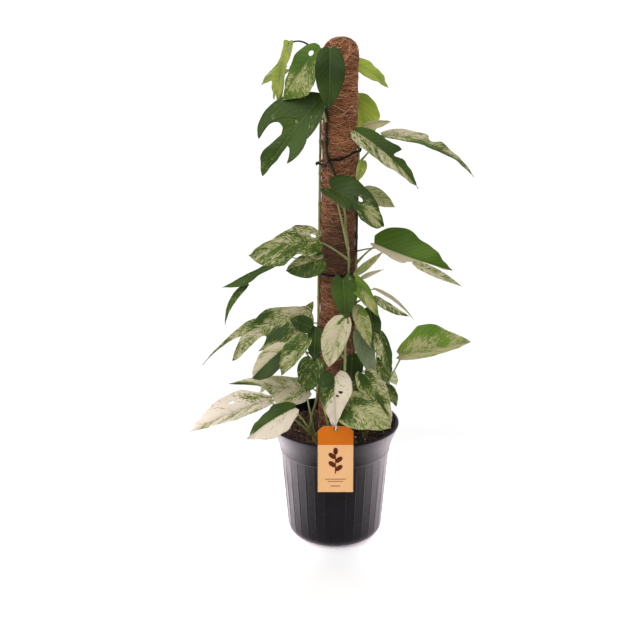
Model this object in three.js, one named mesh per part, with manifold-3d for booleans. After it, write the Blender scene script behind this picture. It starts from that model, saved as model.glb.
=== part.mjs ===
// A marbled climbing pothos on a coir pole, in a round fluted nursery pot with a plain hang tag.
// Millimetres, +Z up. The origin is the centre of the pot's underside, and the front faces -Y.
import * as THREE from "three";
import Module from "manifold-3d";

const wasm = await Module();
wasm.setup();

// Pot
const POT_HEIGHT = 180;
const RIM_RADIUS = 95;
const BASE_RADIUS = 52.5;
const STEP_Z = 138;
const WALL = 1.7;
const FLUTES = 32;
const FLUTE_CREST = 0.45;
const FLUTE_HOLLOW = 0.25;
const DRAIN_HOLES = 6;
const HOLE_SIDES = 8;
const DRAIN_RADIUS = 4.5;
const DRAIN_CIRCLE = 40;
const FLOOR = 2.4;
// [height, radius] up the outside, from the underside to the lip
const POT_OUTSIDE = [
  [0, BASE_RADIUS],
  [1.5, 59.5],
  [6, 66],
  [18, 70.6],
  [STEP_Z - 1.2, 80.2],
  [STEP_Z, 81.8],
  [STEP_Z + 14, 84.6],
  [STEP_Z + 24, 89],
  [STEP_Z + 34, 93],
  [POT_HEIGHT - 2.4, RIM_RADIUS],
  [POT_HEIGHT, RIM_RADIUS - 0.7],
];
// [height, radius] up the inside, from the floor to above the lip
const POT_INSIDE = [
  [FLOOR, BASE_RADIUS - 2],
  [6, 62],
  [18, 70.6 - WALL],
  [STEP_Z - 1.2, 80.2 - WALL],
  [STEP_Z + 14, 84.4 - WALL],
  [STEP_Z + 24, 88.6 - WALL],
  [STEP_Z + 34, 92.6 - WALL],
  [POT_HEIGHT + 1, RIM_RADIUS - 2.4],
];

// Soil, pole and its covering
const FIT_GAP = 0.4;
const SOIL_TOP = 165;
const SOIL_CROWN = 3;
const SOIL_RADIUS = 88;
const SOIL_CROWN_RADIUS = 50;
const POLE_TOP = 750;
const POLE_LEAN = 0.012;
const COIR_RADIUS = 25.4;
const COIR_BOTTOM = 34;
const COIR_RINGS = 14;
const POLE_SIDES = 16;
const COIR_RING_DEPTH = 0.7;
const DOME_HEIGHT = 20.3;
// [share of the dome's height, share of the pole's radius] from the dome's foot to its flat tip
const DOME_RINGS = [[0.5, 0.872], [0.85, 0.554], [1, 0.2]];
const STAKE_RADIUS = 12;
const STAKE_TOP = 705;
const STAKE_BOTTOM = 8;

// Stems, leaf stalks and leaves
const VINE_REACH = 31.5;
const VINE_REACH_IN_SOIL = 37;
const STEM_RADIUS = 3.6;
const STEM_TIP_RADIUS = 2.4;
const STEM_FOOT = 120;
const CROWN_TOP = 192;
const STALK_RADIUS = 2.1;
const STALK_TIP_RADIUS = 1.3;
const STALK_SIDES = 4;
const STALK_INTO_BLADE = 0.05;
const STALK_STEPS = 3;
const STEM_SIDES = 5;
const STEM_STEP = 52;
const HOLE_CLEARANCE = 0.7;
const BLADE_THICKNESS = 1.1;
const BLADE_CURL = 0.16;

// Ties, tag and its string
const TIE_GAP = 0.5;
const TIE_WIDTH = 3.2;
const TIE_THICKNESS = 1.4;
const TIE_STEPS = 72;
const TIE_KNOB = 3.4;
const TIE_KNOB_SHAPE = [0.8, 0.8, 1.2];
const UPPER_TIE = { height: 583, tilt: 11, knob: -70 };
const LOWER_TIE = { height: 414, tilt: 2, knob: 58 };
const TAG = { width: 51, height: 103, thickness: 0.9, corner: 8, top: 212, y: -98.5, hole: 2.6 };
const STRING_RADIUS = 0.75;
const STRING_STEPS = 26;
const STRING_SIDES = 4;
const STRING_HOLD = 0.42;

// The outline of a blade as [place along the midrib, vein slant in degrees, vein length].
// Vein length is a share of half the blade's width, and a negative slant points back past the stalk.
const SHAPES = {
  heart: [
    [0, -60, 0.62],
    [0.06, -34, 0.9],
    [0.15, -8, 1],
    [0.28, 14, 0.98],
    [0.43, 28, 0.88],
    [0.58, 38, 0.73],
    [0.73, 46, 0.53],
    [0.87, 52, 0.28],
    [1, 60, 0.03],
  ],
  oval: [
    [0, -30, 0.3],
    [0.08, -8, 0.7],
    [0.2, 12, 0.95],
    [0.36, 24, 1],
    [0.52, 32, 0.88],
    [0.68, 40, 0.66],
    [0.84, 48, 0.36],
    [1, 60, 0.03],
  ],
  strap: [
    [0, -10, 0.25],
    [0.12, 10, 0.8],
    [0.34, 25, 1],
    [0.6, 36, 0.85],
    [0.82, 46, 0.45],
    [1, 60, 0.06],
  ],
};

const LEFT = -1;
const RIGHT = 1;

// Each stem: where it runs and the leaves on it. A leaf holds the point its stalk ends at, its tip, its
// width, the way its upper face looks and the height on the stem where its stalk starts. Cuts are
// [side, place along the midrib, depth, half the gap's length], all as shares of the blade.
const VINES = [
  {
    name: "vine_left",
    turns: [
      [STEM_FOOT, -82],
      [330, -80],
      [620, -84],
      [724, -72],
    ],
    leaves: [
      { at: [-64, -13, 744], tip: [-88, -25, 668], width: 24, face: [-0.8, -0.6, 0.1],
        node: 716, fold: 48, shape: "oval", bow: [0, 0, 14] },
      { at: [-26, -28, 738], tip: [-72, -44, 680], width: 44, face: [-0.4, -0.85, 0.35],
        node: 718, arch: 9 },
      { at: [-52, 12, 706], tip: [-104, 16, 678], width: 34, face: [-0.4, -0.7, 0.6],
        node: 690, arch: 5 },
      { at: [-54, 8, 444], tip: [-161, 0, 330], width: 38, face: [-0.4, -0.8, 0.45],
        node: 418, arch: 16, shape: "strap" },
      { at: [-84, 8, 430], tip: [-164, 6, 387], width: 24, face: [-0.3, -0.7, 0.7],
        arch: 6, shape: "strap", lobe: true },
      { at: [-44, -34, 350], tip: [-149, -58, 300], width: 74, face: [-0.2, -0.92, 0.35],
        node: 300, arch: 10, big: true,
        cuts: [[LEFT, 0.36, 0.55, 0.05], [RIGHT, 0.6, 0.6, 0.06], [LEFT, 0.64, 0.5, 0.05]] },
      { at: [-104, -52, 340], tip: [-191, -64, 294], width: 21, face: [-0.1, -0.8, 0.6],
        arch: 6, shape: "strap", lobe: true },
      { at: [-34, -56, 345], tip: [-66, -62, 362], width: 26, face: [-0.1, -0.85, 0.5],
        node: 318, arch: 3, shape: "oval" },
      { at: [-56, -74, 334], tip: [-119, -98, 275], width: 58, face: [-0.4, -0.8, 0.45],
        node: 282, arch: 8 },
      { at: [-38, -90, 340], tip: [-76, -114, 294], width: 46, face: [-0.2, -0.9, 0.4],
        node: 270, arch: 6, bow: [-20, -6, 4] },
    ],
  },
  {
    name: "vine_front",
    turns: [
      [STEM_FOOT, 26],
      [300, 28],
      [430, 35],
      [500, 20],
      [545, -4],
      [600, -44],
      [694, -48],
    ],
    leaves: [
      { at: [-24, -40, 676], tip: [-101, -74, 572], width: 80, face: [-0.4, -0.88, 0.25],
        node: 636, arch: 9, big: true,
        cuts: [[RIGHT, 0.58, 0.72, 0.06], [LEFT, 0.56, 0.7, 0.06]] },
      { at: [-5, -44, 741], tip: [-13, -66, 656], width: 46, face: [0.1, -0.95, 0.25],
        node: 684, arch: 7 },
      { at: [-8, -50, 542], tip: [66, -84, 501], width: 64, face: [0.35, -0.8, 0.5],
        node: 508, arch: 9, big: true,
        cuts: [[RIGHT, 0.5, 0.4, 0.05]] },
      { at: [20, -36, 551], tip: [80, -44, 525], width: 34, face: [0.2, -0.9, 0.35],
        node: 520, arch: 3, shape: "oval" },
      { at: [-25, -42, 470], tip: [-122, -62, 453], width: 66, face: [-0.2, -0.78, 0.6],
        node: 436, arch: 10, big: true,
        cuts: [[LEFT, 0.22, 0.5, 0.05]] },
      { at: [21, -76, 353], tip: [-12, -98, 297], width: 48, face: [-0.15, -0.93, 0.35],
        node: 262, arch: 6 },
      { at: [-4, -43, 338], tip: [-16, -50, 298], width: 25, face: [-0.2, -0.9, 0.3],
        node: 286, arch: 3, shape: "oval" },
    ],
  },
  {
    name: "vine_right",
    turns: [
      [STEM_FOOT, 84],
      [330, 78],
      [480, 74],
      [616, 82],
    ],
    leaves: [
      { at: [40, -8, 634], tip: [78, -16, 640], width: 26, face: [0, -0.6, 0.8],
        node: 610, fold: 44, shape: "oval" },
      { at: [26, -38, 624], tip: [112, -75, 556], width: 54, face: [0.5, -0.65, 0.55],
        node: 604, arch: 9, big: true,
        cuts: [[LEFT, 0.55, 0.5, 0.05]] },
      { at: [62, -2, 614], tip: [196, 5, 549], width: 42, face: [0.35, -0.45, 0.85],
        node: 572, arch: 20, shape: "oval",
        cuts: [[LEFT, 0.42, 0.6, 0.06]] },
      { at: [42, -38, 590], tip: [32, -46, 562], width: 15, face: [0.1, -1, 0.1],
        node: 560, shape: "strap" },
      { at: [55, -16, 458], tip: [164, -40, 425], width: 66, face: [0.2, -0.75, 0.65],
        node: 426, arch: 11, big: true,
        cuts: [[RIGHT, 0.45, 0.5, 0.05]] },
      { at: [110, -50, 438], tip: [178, -54, 407], width: 17, face: [0.1, -0.85, 0.5],
        arch: 3, shape: "strap", lobe: true },
      { at: [47, -20, 412], tip: [70, -28, 432], width: 8, face: [-0.3, -0.9, 0.5],
        node: 396, shape: "strap" },
      { at: [58, -22, 394], tip: [110, -34, 350], width: 15, face: [0.5, -0.6, 0.7],
        node: 374, arch: 9, shape: "strap" },
      { at: [8, -51, 416], tip: [11, -58, 362], width: 36, face: [0.05, -0.96, 0.25],
        node: 386, arch: 4, bow: [6, -16, 4] },
      { at: [30, -40, 412], tip: [62, -60, 362], width: 42, face: [0.45, -0.85, 0.3],
        node: 392, arch: 5 },
      { at: [34, -46, 374], tip: [50, -58, 317], width: 24, face: [0.3, -0.95, 0.15],
        node: 352, arch: 4, shape: "oval" },
      { at: [48, -26, 368], tip: [60, -36, 318], width: 28, face: [0.55, -0.8, 0.25],
        node: 340, arch: 4, shape: "oval" },
      { at: [54, -36, 386], tip: [104, -50, 357], width: 17, face: [0.3, -0.8, 0.5],
        node: 366, arch: 6, shape: "strap" },
      { at: [30, -42, 338], tip: [50, -46, 272], width: 30, face: [0.35, -0.93, 0.1],
        node: 306, arch: 6, shape: "oval" },
    ],
  },
  {
    name: "vine_back",
    turns: [
      [STEM_FOOT, 168],
      [400, 172],
      [690, 160],
    ],
    leaves: [
      { at: [20, 38, 708], tip: [75, 50, 669], width: 38, face: [0.35, -0.5, 0.8], node: 680, arch: 6 },
      { at: [32, 42, 672], tip: [70, 38, 630], width: 42, face: [0.45, -0.6, 0.6], node: 644, arch: 6 },
      { at: [-26, 44, 630], tip: [-78, 70, 590], width: 46, face: [-0.4, 0.7, 0.6],
        node: 606, arch: 7 },
      { at: [2, 50, 522], tip: [5, 78, 450], width: 46, face: [0, 0.9, 0.45], node: 490, arch: 7 },
      { at: [-34, 46, 432], tip: [-100, 78, 402], width: 46, face: [-0.3, 0.6, 0.75],
        node: 424, arch: 7 },
      { at: [62, 46, 434], tip: [130, 78, 400], width: 44, face: [0.3, 0.6, 0.75], node: 426, arch: 7 },
      { at: [0, 52, 384], tip: [-5, 84, 318], width: 48, face: [0, 0.9, 0.45], node: 350, arch: 7 },
      { at: [-34, 52, 308], tip: [-92, 86, 272], width: 58, face: [-0.35, 0.65, 0.7],
        node: 270, arch: 8 },
      { at: [32, 52, 306], tip: [64, 90, 266], width: 46, face: [0.3, 0.75, 0.6], node: 264, arch: 7 },
    ],
  },
];

const CUTTINGS = [
  {
    name: "cutting_left",
    foot: [-30, -44],
    leaves: [
      { at: [-36, -56, 252], tip: [-153, -60, 264], width: 56, face: [-0.1, -0.86, 0.5],
        arch: 6, big: true,
        cuts: [[LEFT, 0.24, 0.5, 0.05], [LEFT, 0.5, 0.6, 0.06], [LEFT, 0.75, 0.4, 0.05]] },
      { at: [-92, -32, 226], tip: [-210, -46, 181], width: 70, face: [-0.2, -0.75, 0.65],
        arch: 10, big: true },
      { at: [-57, -98, 232], tip: [-124, -128, 202], width: 62, face: [-0.3, -0.68, 0.68], arch: 8 },
    ],
  },
  {
    name: "cutting_front",
    foot: [-6, -54],
    leaves: [
      { at: [-4, -88, 282], tip: [0, -120, 218], width: 56, face: [0.05, -0.82, 0.55],
        arch: 5, big: true },
      { at: [-28, -66, 297], tip: [-38, -81, 262], width: 44, face: [-0.1, -0.78, 0.62], arch: 4 },
    ],
  },
  {
    name: "cutting_right",
    foot: [44, -30],
    leaves: [
      { at: [94, -26, 297], tip: [192, -50, 325], width: 55, face: [-0.2, -0.88, 0.45],
        arch: 8, big: true },
      { at: [66, -46, 334], tip: [82, -60, 275], width: 32, face: [0.5, -0.85, 0.15], arch: 5 },
      { at: [48, -14, 300], tip: [38, -34, 243], width: 32, face: [0.3, -0.9, 0.3], arch: 4 },
      { at: [60, 4, 272], tip: [80, 0, 236], width: 26, face: [0.4, -0.8, 0.4], arch: 4 },
      { at: [44, -60, 262], tip: [80, -90, 208], width: 40, face: [0.4, -0.72, 0.6], arch: 6 },
      { at: [18, -88, 243], tip: [82, -118, 213], width: 46, face: [0.15, -0.76, 0.64], arch: 6 },
      { at: [74, -36, 250], tip: [90, -56, 223], width: 24, face: [0.5, -0.7, 0.5],
        arch: 3, shape: "oval" },
    ],
  },
  {
    name: "cutting_back",
    foot: [4, 58],
    leaves: [
      { at: [-48, 64, 224], tip: [-118, 92, 194], width: 60, face: [-0.3, 0.6, 0.75], arch: 8 },
      { at: [46, 66, 230], tip: [96, 104, 196], width: 56, face: [0.3, 0.6, 0.75], arch: 8 },
      { at: [2, 78, 262], tip: [6, 126, 214], width: 56, face: [0, 0.7, 0.7], arch: 8 },
    ],
  },
];

const radians = THREE.MathUtils.degToRad;
const vec = (p) => new THREE.Vector3(...p);
const mix = THREE.MathUtils.lerp;

// The pole's centre line leans a little to +X.
function poleCentre(z) {
  return new THREE.Vector3((z - SOIL_TOP) * POLE_LEAN, 0, z);
}

// A point beside the pole: degrees count from the front (-Y) towards +X.
function besidePole(z, degrees, reach) {
  const a = radians(degrees);
  return poleCentre(z).add(new THREE.Vector3(Math.sin(a) * reach, -Math.cos(a) * reach, 0));
}

function solid(positions, triangles) {
  const mesh = new wasm.Mesh({
    numProp: 3,
    vertProperties: new Float32Array(positions),
    triVerts: new Uint32Array(triangles),
  });
  return new wasm.Manifold(mesh);
}

// A closed body through rings of equal point count, each listed counterclockwise seen from the far end.
function loft(rings) {
  const n = rings[0].length;
  const positions = [];
  const triangles = [];
  for (const ring of rings) for (const p of ring) positions.push(p.x, p.y, p.z);
  for (let i = 0; i + 1 < rings.length; i++) {
    for (let j = 0; j < n; j++) {
      const a = i * n + j;
      const b = i * n + ((j + 1) % n);
      triangles.push(a, b, b + n, a, b + n, a + n);
    }
  }
  for (const [index, turn] of [[0, 0], [rings.length - 1, 1]]) {
    const centre = new THREE.Vector3();
    for (const p of rings[index]) centre.addScaledVector(p, 1 / n);
    const c = positions.length / 3;
    positions.push(centre.x, centre.y, centre.z);
    for (let j = 0; j < n; j++) {
      const a = index * n + j;
      const b = index * n + ((j + 1) % n);
      triangles.push(...(turn ? [a, b, c] : [b, a, c]));
    }
  }
  return solid(positions, triangles);
}

function ringAt(centre, radius, sides, radiusAt) {
  const ring = [];
  for (let j = 0; j < sides; j++) {
    const a = (2 * Math.PI * j) / sides;
    const r = radiusAt ? radiusAt(j, radius) : radius;
    ring.push(new THREE.Vector3(centre.x + r * Math.cos(a), centre.y + r * Math.sin(a), centre.z));
  }
  return ring;
}

function turned(profile, sides, radiusAt) {
  return loft(
    profile.map(([z, r]) =>
      ringAt(new THREE.Vector3(0, 0, z), r, sides, radiusAt ? (j, radius) => radiusAt(j, radius, z) : null),
    ),
  );
}

// A round bar along points, its radius running evenly from the first to the last.
function bar(points, radiusStart, radiusEnd, sides) {
  const rings = [];
  let side = null;
  points.forEach((p, i) => {
    const before = points[Math.max(i - 1, 0)];
    const after = points[Math.min(i + 1, points.length - 1)];
    const along = after.clone().sub(before).normalize();
    if (!side) side = Math.abs(along.z) < 0.9 ? new THREE.Vector3(0, 0, 1) : new THREE.Vector3(1, 0, 0);
    side = side.clone().addScaledVector(along, -side.dot(along)).normalize();
    const other = along.clone().cross(side);
    const r = mix(radiusStart, radiusEnd, i / (points.length - 1));
    const ring = [];
    for (let j = 0; j < sides; j++) {
      const a = (2 * Math.PI * j) / sides;
      ring.push(p.clone().addScaledVector(side, r * Math.cos(a)).addScaledVector(other, r * Math.sin(a)));
    }
    rings.push(ring);
  });
  return loft(rings);
}

function potSolid() {
  const fluted = (j, r, z) => {
    if (z < 10 || z > STEP_Z - 1) return r;
    return j % 2 ? r - FLUTE_HOLLOW : r + FLUTE_CREST;
  };
  let pot = turned(POT_OUTSIDE, 2 * FLUTES, fluted).subtract(turned(POT_INSIDE, FLUTES));
  for (let i = 0; i < DRAIN_HOLES; i++) {
    const a = (2 * Math.PI * (i + 0.5)) / DRAIN_HOLES;
    const hole = wasm.Manifold.cylinder(3 * FLOOR, DRAIN_RADIUS, DRAIN_RADIUS, HOLE_SIDES);
    pot = pot.subtract(hole.translate([DRAIN_CIRCLE * Math.cos(a), DRAIN_CIRCLE * Math.sin(a), -FLOOR]));
  }
  return pot;
}

function coirProfile() {
  const rings = [];
  const straightTop = POLE_TOP - DOME_HEIGHT;
  for (let i = 0; i <= COIR_RINGS; i++) {
    const z = mix(COIR_BOTTOM, straightTop, i / COIR_RINGS);
    rings.push([z, COIR_RADIUS - (i % 2) * COIR_RING_DEPTH]);
  }
  for (const [rise, reach] of DOME_RINGS) {
    rings.push([straightTop + DOME_HEIGHT * rise, COIR_RADIUS * reach]);
  }
  return rings;
}

function poleBar(profile, sides) {
  return loft(profile.map(([z, r]) => ringAt(poleCentre(z), r, sides)));
}

function coirSolid() {
  const bore = STAKE_RADIUS + FIT_GAP;
  return poleBar(coirProfile(), POLE_SIDES).subtract(
    poleBar([[COIR_BOTTOM - 1, bore], [STAKE_TOP + FIT_GAP, bore]], POLE_SIDES),
  );
}

function stakeSolid() {
  return poleBar([[STAKE_BOTTOM, STAKE_RADIUS], [STAKE_TOP, STAKE_RADIUS]], POLE_SIDES);
}

function vinePath(vine) {
  const turns = vine.turns;
  const foot = turns[0][0];
  const top = turns[turns.length - 1][0];
  const points = [];
  for (let z = foot; z < top - STEM_STEP / 2; z += STEM_STEP) points.push(vinePoint(vine, z));
  points.push(vinePoint(vine, top));
  return points;
}

// The vine's centre at a height: it holds to the pole above the soil and stands off it below.
function vinePoint(vine, z) {
  const turns = vine.turns;
  let i = 0;
  while (i + 2 < turns.length && z > turns[i + 1][0]) i++;
  const [z0, d0] = turns[i];
  const [z1, d1] = turns[i + 1];
  const degrees = mix(d0, d1, THREE.MathUtils.smoothstep(z, z0, z1));
  const risen = THREE.MathUtils.smoothstep(z, SOIL_TOP + 8, SOIL_TOP + 60);
  const reach = mix(VINE_REACH_IN_SOIL, VINE_REACH, risen);
  return besidePole(z, degrees, reach);
}

// The blade's frame at a place along its midrib: centre, along, up (out of the upper face) and across.
function midribFrame(leaf, u) {
  const at = vec(leaf.at);
  const run = vec(leaf.tip).sub(at);
  const length = run.length();
  const along = run.clone().normalize();
  const face = vec(leaf.face);
  const up = face.addScaledVector(along, -face.dot(along)).normalize();
  const arch = leaf.arch ?? 4;
  const centre = at.clone().addScaledVector(run, u).addScaledVector(up, 4 * arch * u * (1 - u));
  const slope = (4 * arch * (1 - 2 * u)) / length;
  const bentAlong = along.clone().addScaledVector(up, slope).normalize();
  const bentUp = up.clone().addScaledVector(along, -slope).normalize();
  return { centre, along: bentAlong, up: bentUp, across: bentAlong.clone().cross(bentUp) };
}

function shapeAt(shape, u) {
  const rows = SHAPES[shape];
  let i = 0;
  while (i + 2 < rows.length && u > rows[i + 1][0]) i++;
  const t = (u - rows[i][0]) / (rows[i + 1][0] - rows[i][0]);
  return [mix(rows[i][1], rows[i + 1][1], t), mix(rows[i][2], rows[i + 1][2], t)];
}

function cutFactor(leaf, side, u) {
  let factor = 1;
  for (const [cutSide, at, depth, half] of leaf.cuts ?? []) {
    if (cutSide === side) factor *= 1 - depth * Math.max(0, 1 - Math.abs(u - at) / half);
  }
  return factor;
}

function stationsOf(leaf) {
  const places = SHAPES[leaf.shape ?? "heart"].map((row) => row[0]);
  const cutPlaces = (leaf.cuts ?? []).flatMap(([, at, , half]) => [at - half, at, at + half]);
  const kept = places.filter((u) => cutPlaces.every((c) => Math.abs(c - u) > 0.03));
  return [...kept, ...cutPlaces].sort((a, b) => a - b);
}

function bladePoint(leaf, u, v) {
  const { centre, along, up, across } = midribFrame(leaf, u);
  const [slant, reach] = shapeAt(leaf.shape ?? "heart", u);
  const side = v < 0 ? LEFT : RIGHT;
  const full = (leaf.width / 2) * reach * cutFactor(leaf, side, u);
  const out = Math.abs(v) * full;
  const rise = Math.tan(radians(leaf.fold ?? 15)) * out - BLADE_CURL * out * Math.abs(v);
  const angle = radians(slant);
  return centre
    .addScaledVector(across, side * out * Math.cos(angle))
    .addScaledVector(along, out * Math.sin(angle))
    .addScaledVector(up, rise);
}

// A thin closed sheet: upper and lower faces share one pattern of triangles and a rim joins them.
function bladeSolid(leaf) {
  const places = stationsOf(leaf);
  const cross = leaf.big ? [-1, -0.5, 0, 0.5, 1] : [-1, 0, 1];
  const columns = cross.length;
  const rows = places.length;
  const positions = [];
  const triangles = [];
  for (const lower of [0, 1]) {
    for (const u of places) {
      const { up } = midribFrame(leaf, u);
      for (const v of cross) {
        const p = bladePoint(leaf, u, v).addScaledVector(up, (0.5 - lower) * BLADE_THICKNESS);
        positions.push(p.x, p.y, p.z);
      }
    }
  }
  const below = rows * columns;
  for (let i = 0; i + 1 < rows; i++) {
    for (let j = 0; j + 1 < columns; j++) {
      const a = i * columns + j;
      const b = a + 1;
      const c = a + columns;
      const d = c + 1;
      const faces = cross[j] < 0 ? [[a, b, d], [a, d, c]] : [[a, b, c], [b, d, c]];
      for (const [p, q, r] of faces) triangles.push(p, q, r, q + below, p + below, r + below);
    }
  }
  const rim = [];
  for (let j = 0; j < columns; j++) rim.push(j);
  for (let i = 1; i < rows; i++) rim.push(i * columns + columns - 1);
  for (let j = columns - 2; j >= 0; j--) rim.push((rows - 1) * columns + j);
  for (let i = rows - 2; i > 0; i--) rim.push(i * columns);
  rim.forEach((a, k) => {
    const b = rim[(k + 1) % rim.length];
    triangles.push(b, a, a + below, b, a + below, b + below);
  });
  const blade = solid(positions, triangles);
  return blade.volume() < 0 ? solid(positions, flipped(triangles)) : blade;
}

function flipped(triangles) {
  const turnedRound = [];
  for (let i = 0; i < triangles.length; i += 3) {
    turnedRound.push(triangles[i], triangles[i + 2], triangles[i + 1]);
  }
  return turnedRound;
}

// A stalk from inside the stem, arching up, to a little way along the leaf's midrib.
function stalkPoints(leaf, root) {
  const end = midribFrame(leaf, STALK_INTO_BLADE).centre;
  const middle = root.clone().lerp(end, 0.55).add(vec(leaf.bow ?? [0, 0, 6]));
  const curve = new THREE.QuadraticBezierCurve3(root, middle, end);
  return curve.getPoints(STALK_STEPS);
}

// A lobe is a finger of the leaf before it, so it has a blade and no stalk.
function leafSolids(leaf, rootOf) {
  if (leaf.lobe) return [bladeSolid(leaf)];
  const path = stalkPoints(leaf, rootOf(leaf));
  return [bar(path, STALK_RADIUS, STALK_TIP_RADIUS, STALK_SIDES), bladeSolid(leaf)];
}

// One body from overlapping pieces, with any pocket closed in between them filled.
function fused(pieces) {
  const bodies = wasm.Manifold.union(pieces).decompose();
  return wasm.Manifold.compose(bodies.filter((body) => body.volume() > 0));
}

function vineSolid(vine) {
  const pieces = [bar(vinePath(vine), STEM_RADIUS, STEM_TIP_RADIUS, STEM_SIDES)];
  for (const leaf of vine.leaves) pieces.push(...leafSolids(leaf, ({ node }) => vinePoint(vine, node)));
  return fused(pieces);
}

function cuttingSolid(cutting) {
  const [x, y] = cutting.foot;
  const stem = [STEM_FOOT, SOIL_TOP, CROWN_TOP].map((z) => new THREE.Vector3(x, y, z));
  const root = new THREE.Vector3(x, y, CROWN_TOP - 8);
  const pieces = [bar(stem, STEM_RADIUS + 0.8, STEM_RADIUS, STEM_SIDES)];
  for (const leaf of cutting.leaves) pieces.push(...leafSolids(leaf, () => root));
  return fused(pieces);
}

function soilSolid() {
  const profile = POT_INSIDE.filter(([z]) => z < SOIL_TOP - 2).map(([z, r]) => [z, r - FIT_GAP]);
  profile[0][0] += FIT_GAP;
  profile.push([SOIL_TOP, SOIL_RADIUS]);
  profile.push([SOIL_TOP + SOIL_CROWN, SOIL_CROWN_RADIUS]);
  let soil = turned(profile, FLUTES);
  const coirHole = COIR_RADIUS + FIT_GAP;
  const stakeHole = STAKE_RADIUS + FIT_GAP;
  for (const [low, high, radius] of [
    [COIR_BOTTOM - FIT_GAP, SOIL_TOP + 20, coirHole],
    [STAKE_BOTTOM - FIT_GAP, COIR_BOTTOM + 2, stakeHole],
  ]) {
    soil = soil.subtract(poleBar([[low, radius], [high, radius]], POLE_SIDES));
  }
  const feet = CUTTINGS.map(({ foot }) => foot);
  for (const vine of VINES) {
    const p = vinePoint(vine, SOIL_TOP);
    feet.push([p.x, p.y]);
  }
  const radius = STEM_RADIUS + 0.8 + HOLE_CLEARANCE;
  for (const [x, y] of feet) {
    const hole = wasm.Manifold.cylinder(80, radius, radius, HOLE_SIDES);
    soil = soil.subtract(hole.translate([x, y, STEM_FOOT - 1]));
  }
  return soil;
}

// The shortest loop round the pole and the stems beside it, as points with the way each faces.
function bandLoop(height) {
  const circles = [{ centre: poleCentre(height), radius: COIR_RADIUS }];
  for (const vine of VINES) {
    const foot = vine.turns[0][0];
    const top = vine.turns[vine.turns.length - 1][0];
    if (height > top) continue;
    const radius = mix(STEM_RADIUS, STEM_TIP_RADIUS, (height - foot) / (top - foot));
    circles.push({ centre: vinePoint(vine, height), radius });
  }
  const fine = [];
  for (let i = 0; i < TIE_STEPS; i++) {
    const a = (2 * Math.PI * i) / TIE_STEPS;
    const out = new THREE.Vector3(Math.cos(a), Math.sin(a), 0);
    const reaches = circles.map(({ centre, radius }) => centre.dot(out) + radius);
    const touched = circles[reaches.indexOf(Math.max(...reaches))];
    const at = touched.centre.clone().addScaledVector(out, touched.radius + TIE_GAP + TIE_THICKNESS / 2);
    fine.push({ at, out, touched });
  }
  // Every third point is enough, save where the band leaves one bar for the next.
  return fine.filter(({ touched }, i) => {
    const before = fine[(i + TIE_STEPS - 1) % TIE_STEPS].touched;
    const after = fine[(i + 1) % TIE_STEPS].touched;
    return i % 3 === 0 || touched !== before || touched !== after;
  });
}

function tieSolid(tie) {
  const loop = bandLoop(tie.height);
  for (const { at, out } of loop) at.z += tie.tilt * out.x;
  const rings = loop.map(({ at, out }) => {
    const half = new THREE.Vector3(0, 0, TIE_WIDTH / 2);
    const inner = at.clone().addScaledVector(out, -TIE_THICKNESS / 2);
    const outer = at.clone().addScaledVector(out, TIE_THICKNESS / 2);
    return [inner.clone().sub(half), outer.clone().sub(half), outer.clone().add(half), inner.clone().add(half)];
  });
  const knobAngle = radians(tie.knob - 90);
  const towards = new THREE.Vector3(Math.cos(knobAngle), Math.sin(knobAngle), 0);
  const { at, out } = loop.reduce((best, item) => (item.out.dot(towards) > best.out.dot(towards) ? item : best));
  const seat = at.clone().addScaledVector(out, TIE_KNOB / 2);
  const knob = wasm.Manifold.sphere(TIE_KNOB, HOLE_SIDES).scale(TIE_KNOB_SHAPE);
  return closedLoft(rings).add(knob.translate(seat.toArray()));
}

// Rings joined in a circle, with no ends.
function closedLoft(rings) {
  const n = rings[0].length;
  const positions = [];
  const triangles = [];
  for (const ring of rings) for (const p of ring) positions.push(p.x, p.y, p.z);
  for (let i = 0; i < rings.length; i++) {
    const next = ((i + 1) % rings.length) * n;
    for (let j = 0; j < n; j++) {
      const a = i * n + j;
      const b = i * n + ((j + 1) % n);
      const c = next + ((j + 1) % n);
      const d = next + j;
      triangles.push(a, b, c, a, c, d);
    }
  }
  const made = solid(positions, triangles);
  return made.volume() < 0 ? solid(positions, flipped(triangles)) : made;
}

function tagSolid() {
  const w = TAG.width / 2;
  const h = TAG.height;
  const c = TAG.corner;
  const outline = [[-w, 0], [w, 0], [w, h - c], [w - c, h], [c - w, h], [-w, h - c]];
  const card = new wasm.CrossSection([outline]).extrude(TAG.thickness);
  const hole = wasm.Manifold.cylinder(4, TAG.hole, TAG.hole, 12).translate([0, h - 6, -1]);
  return card.subtract(hole).rotate([90, 0, 0]).translate([0, TAG.y, TAG.top - h]);
}

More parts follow.
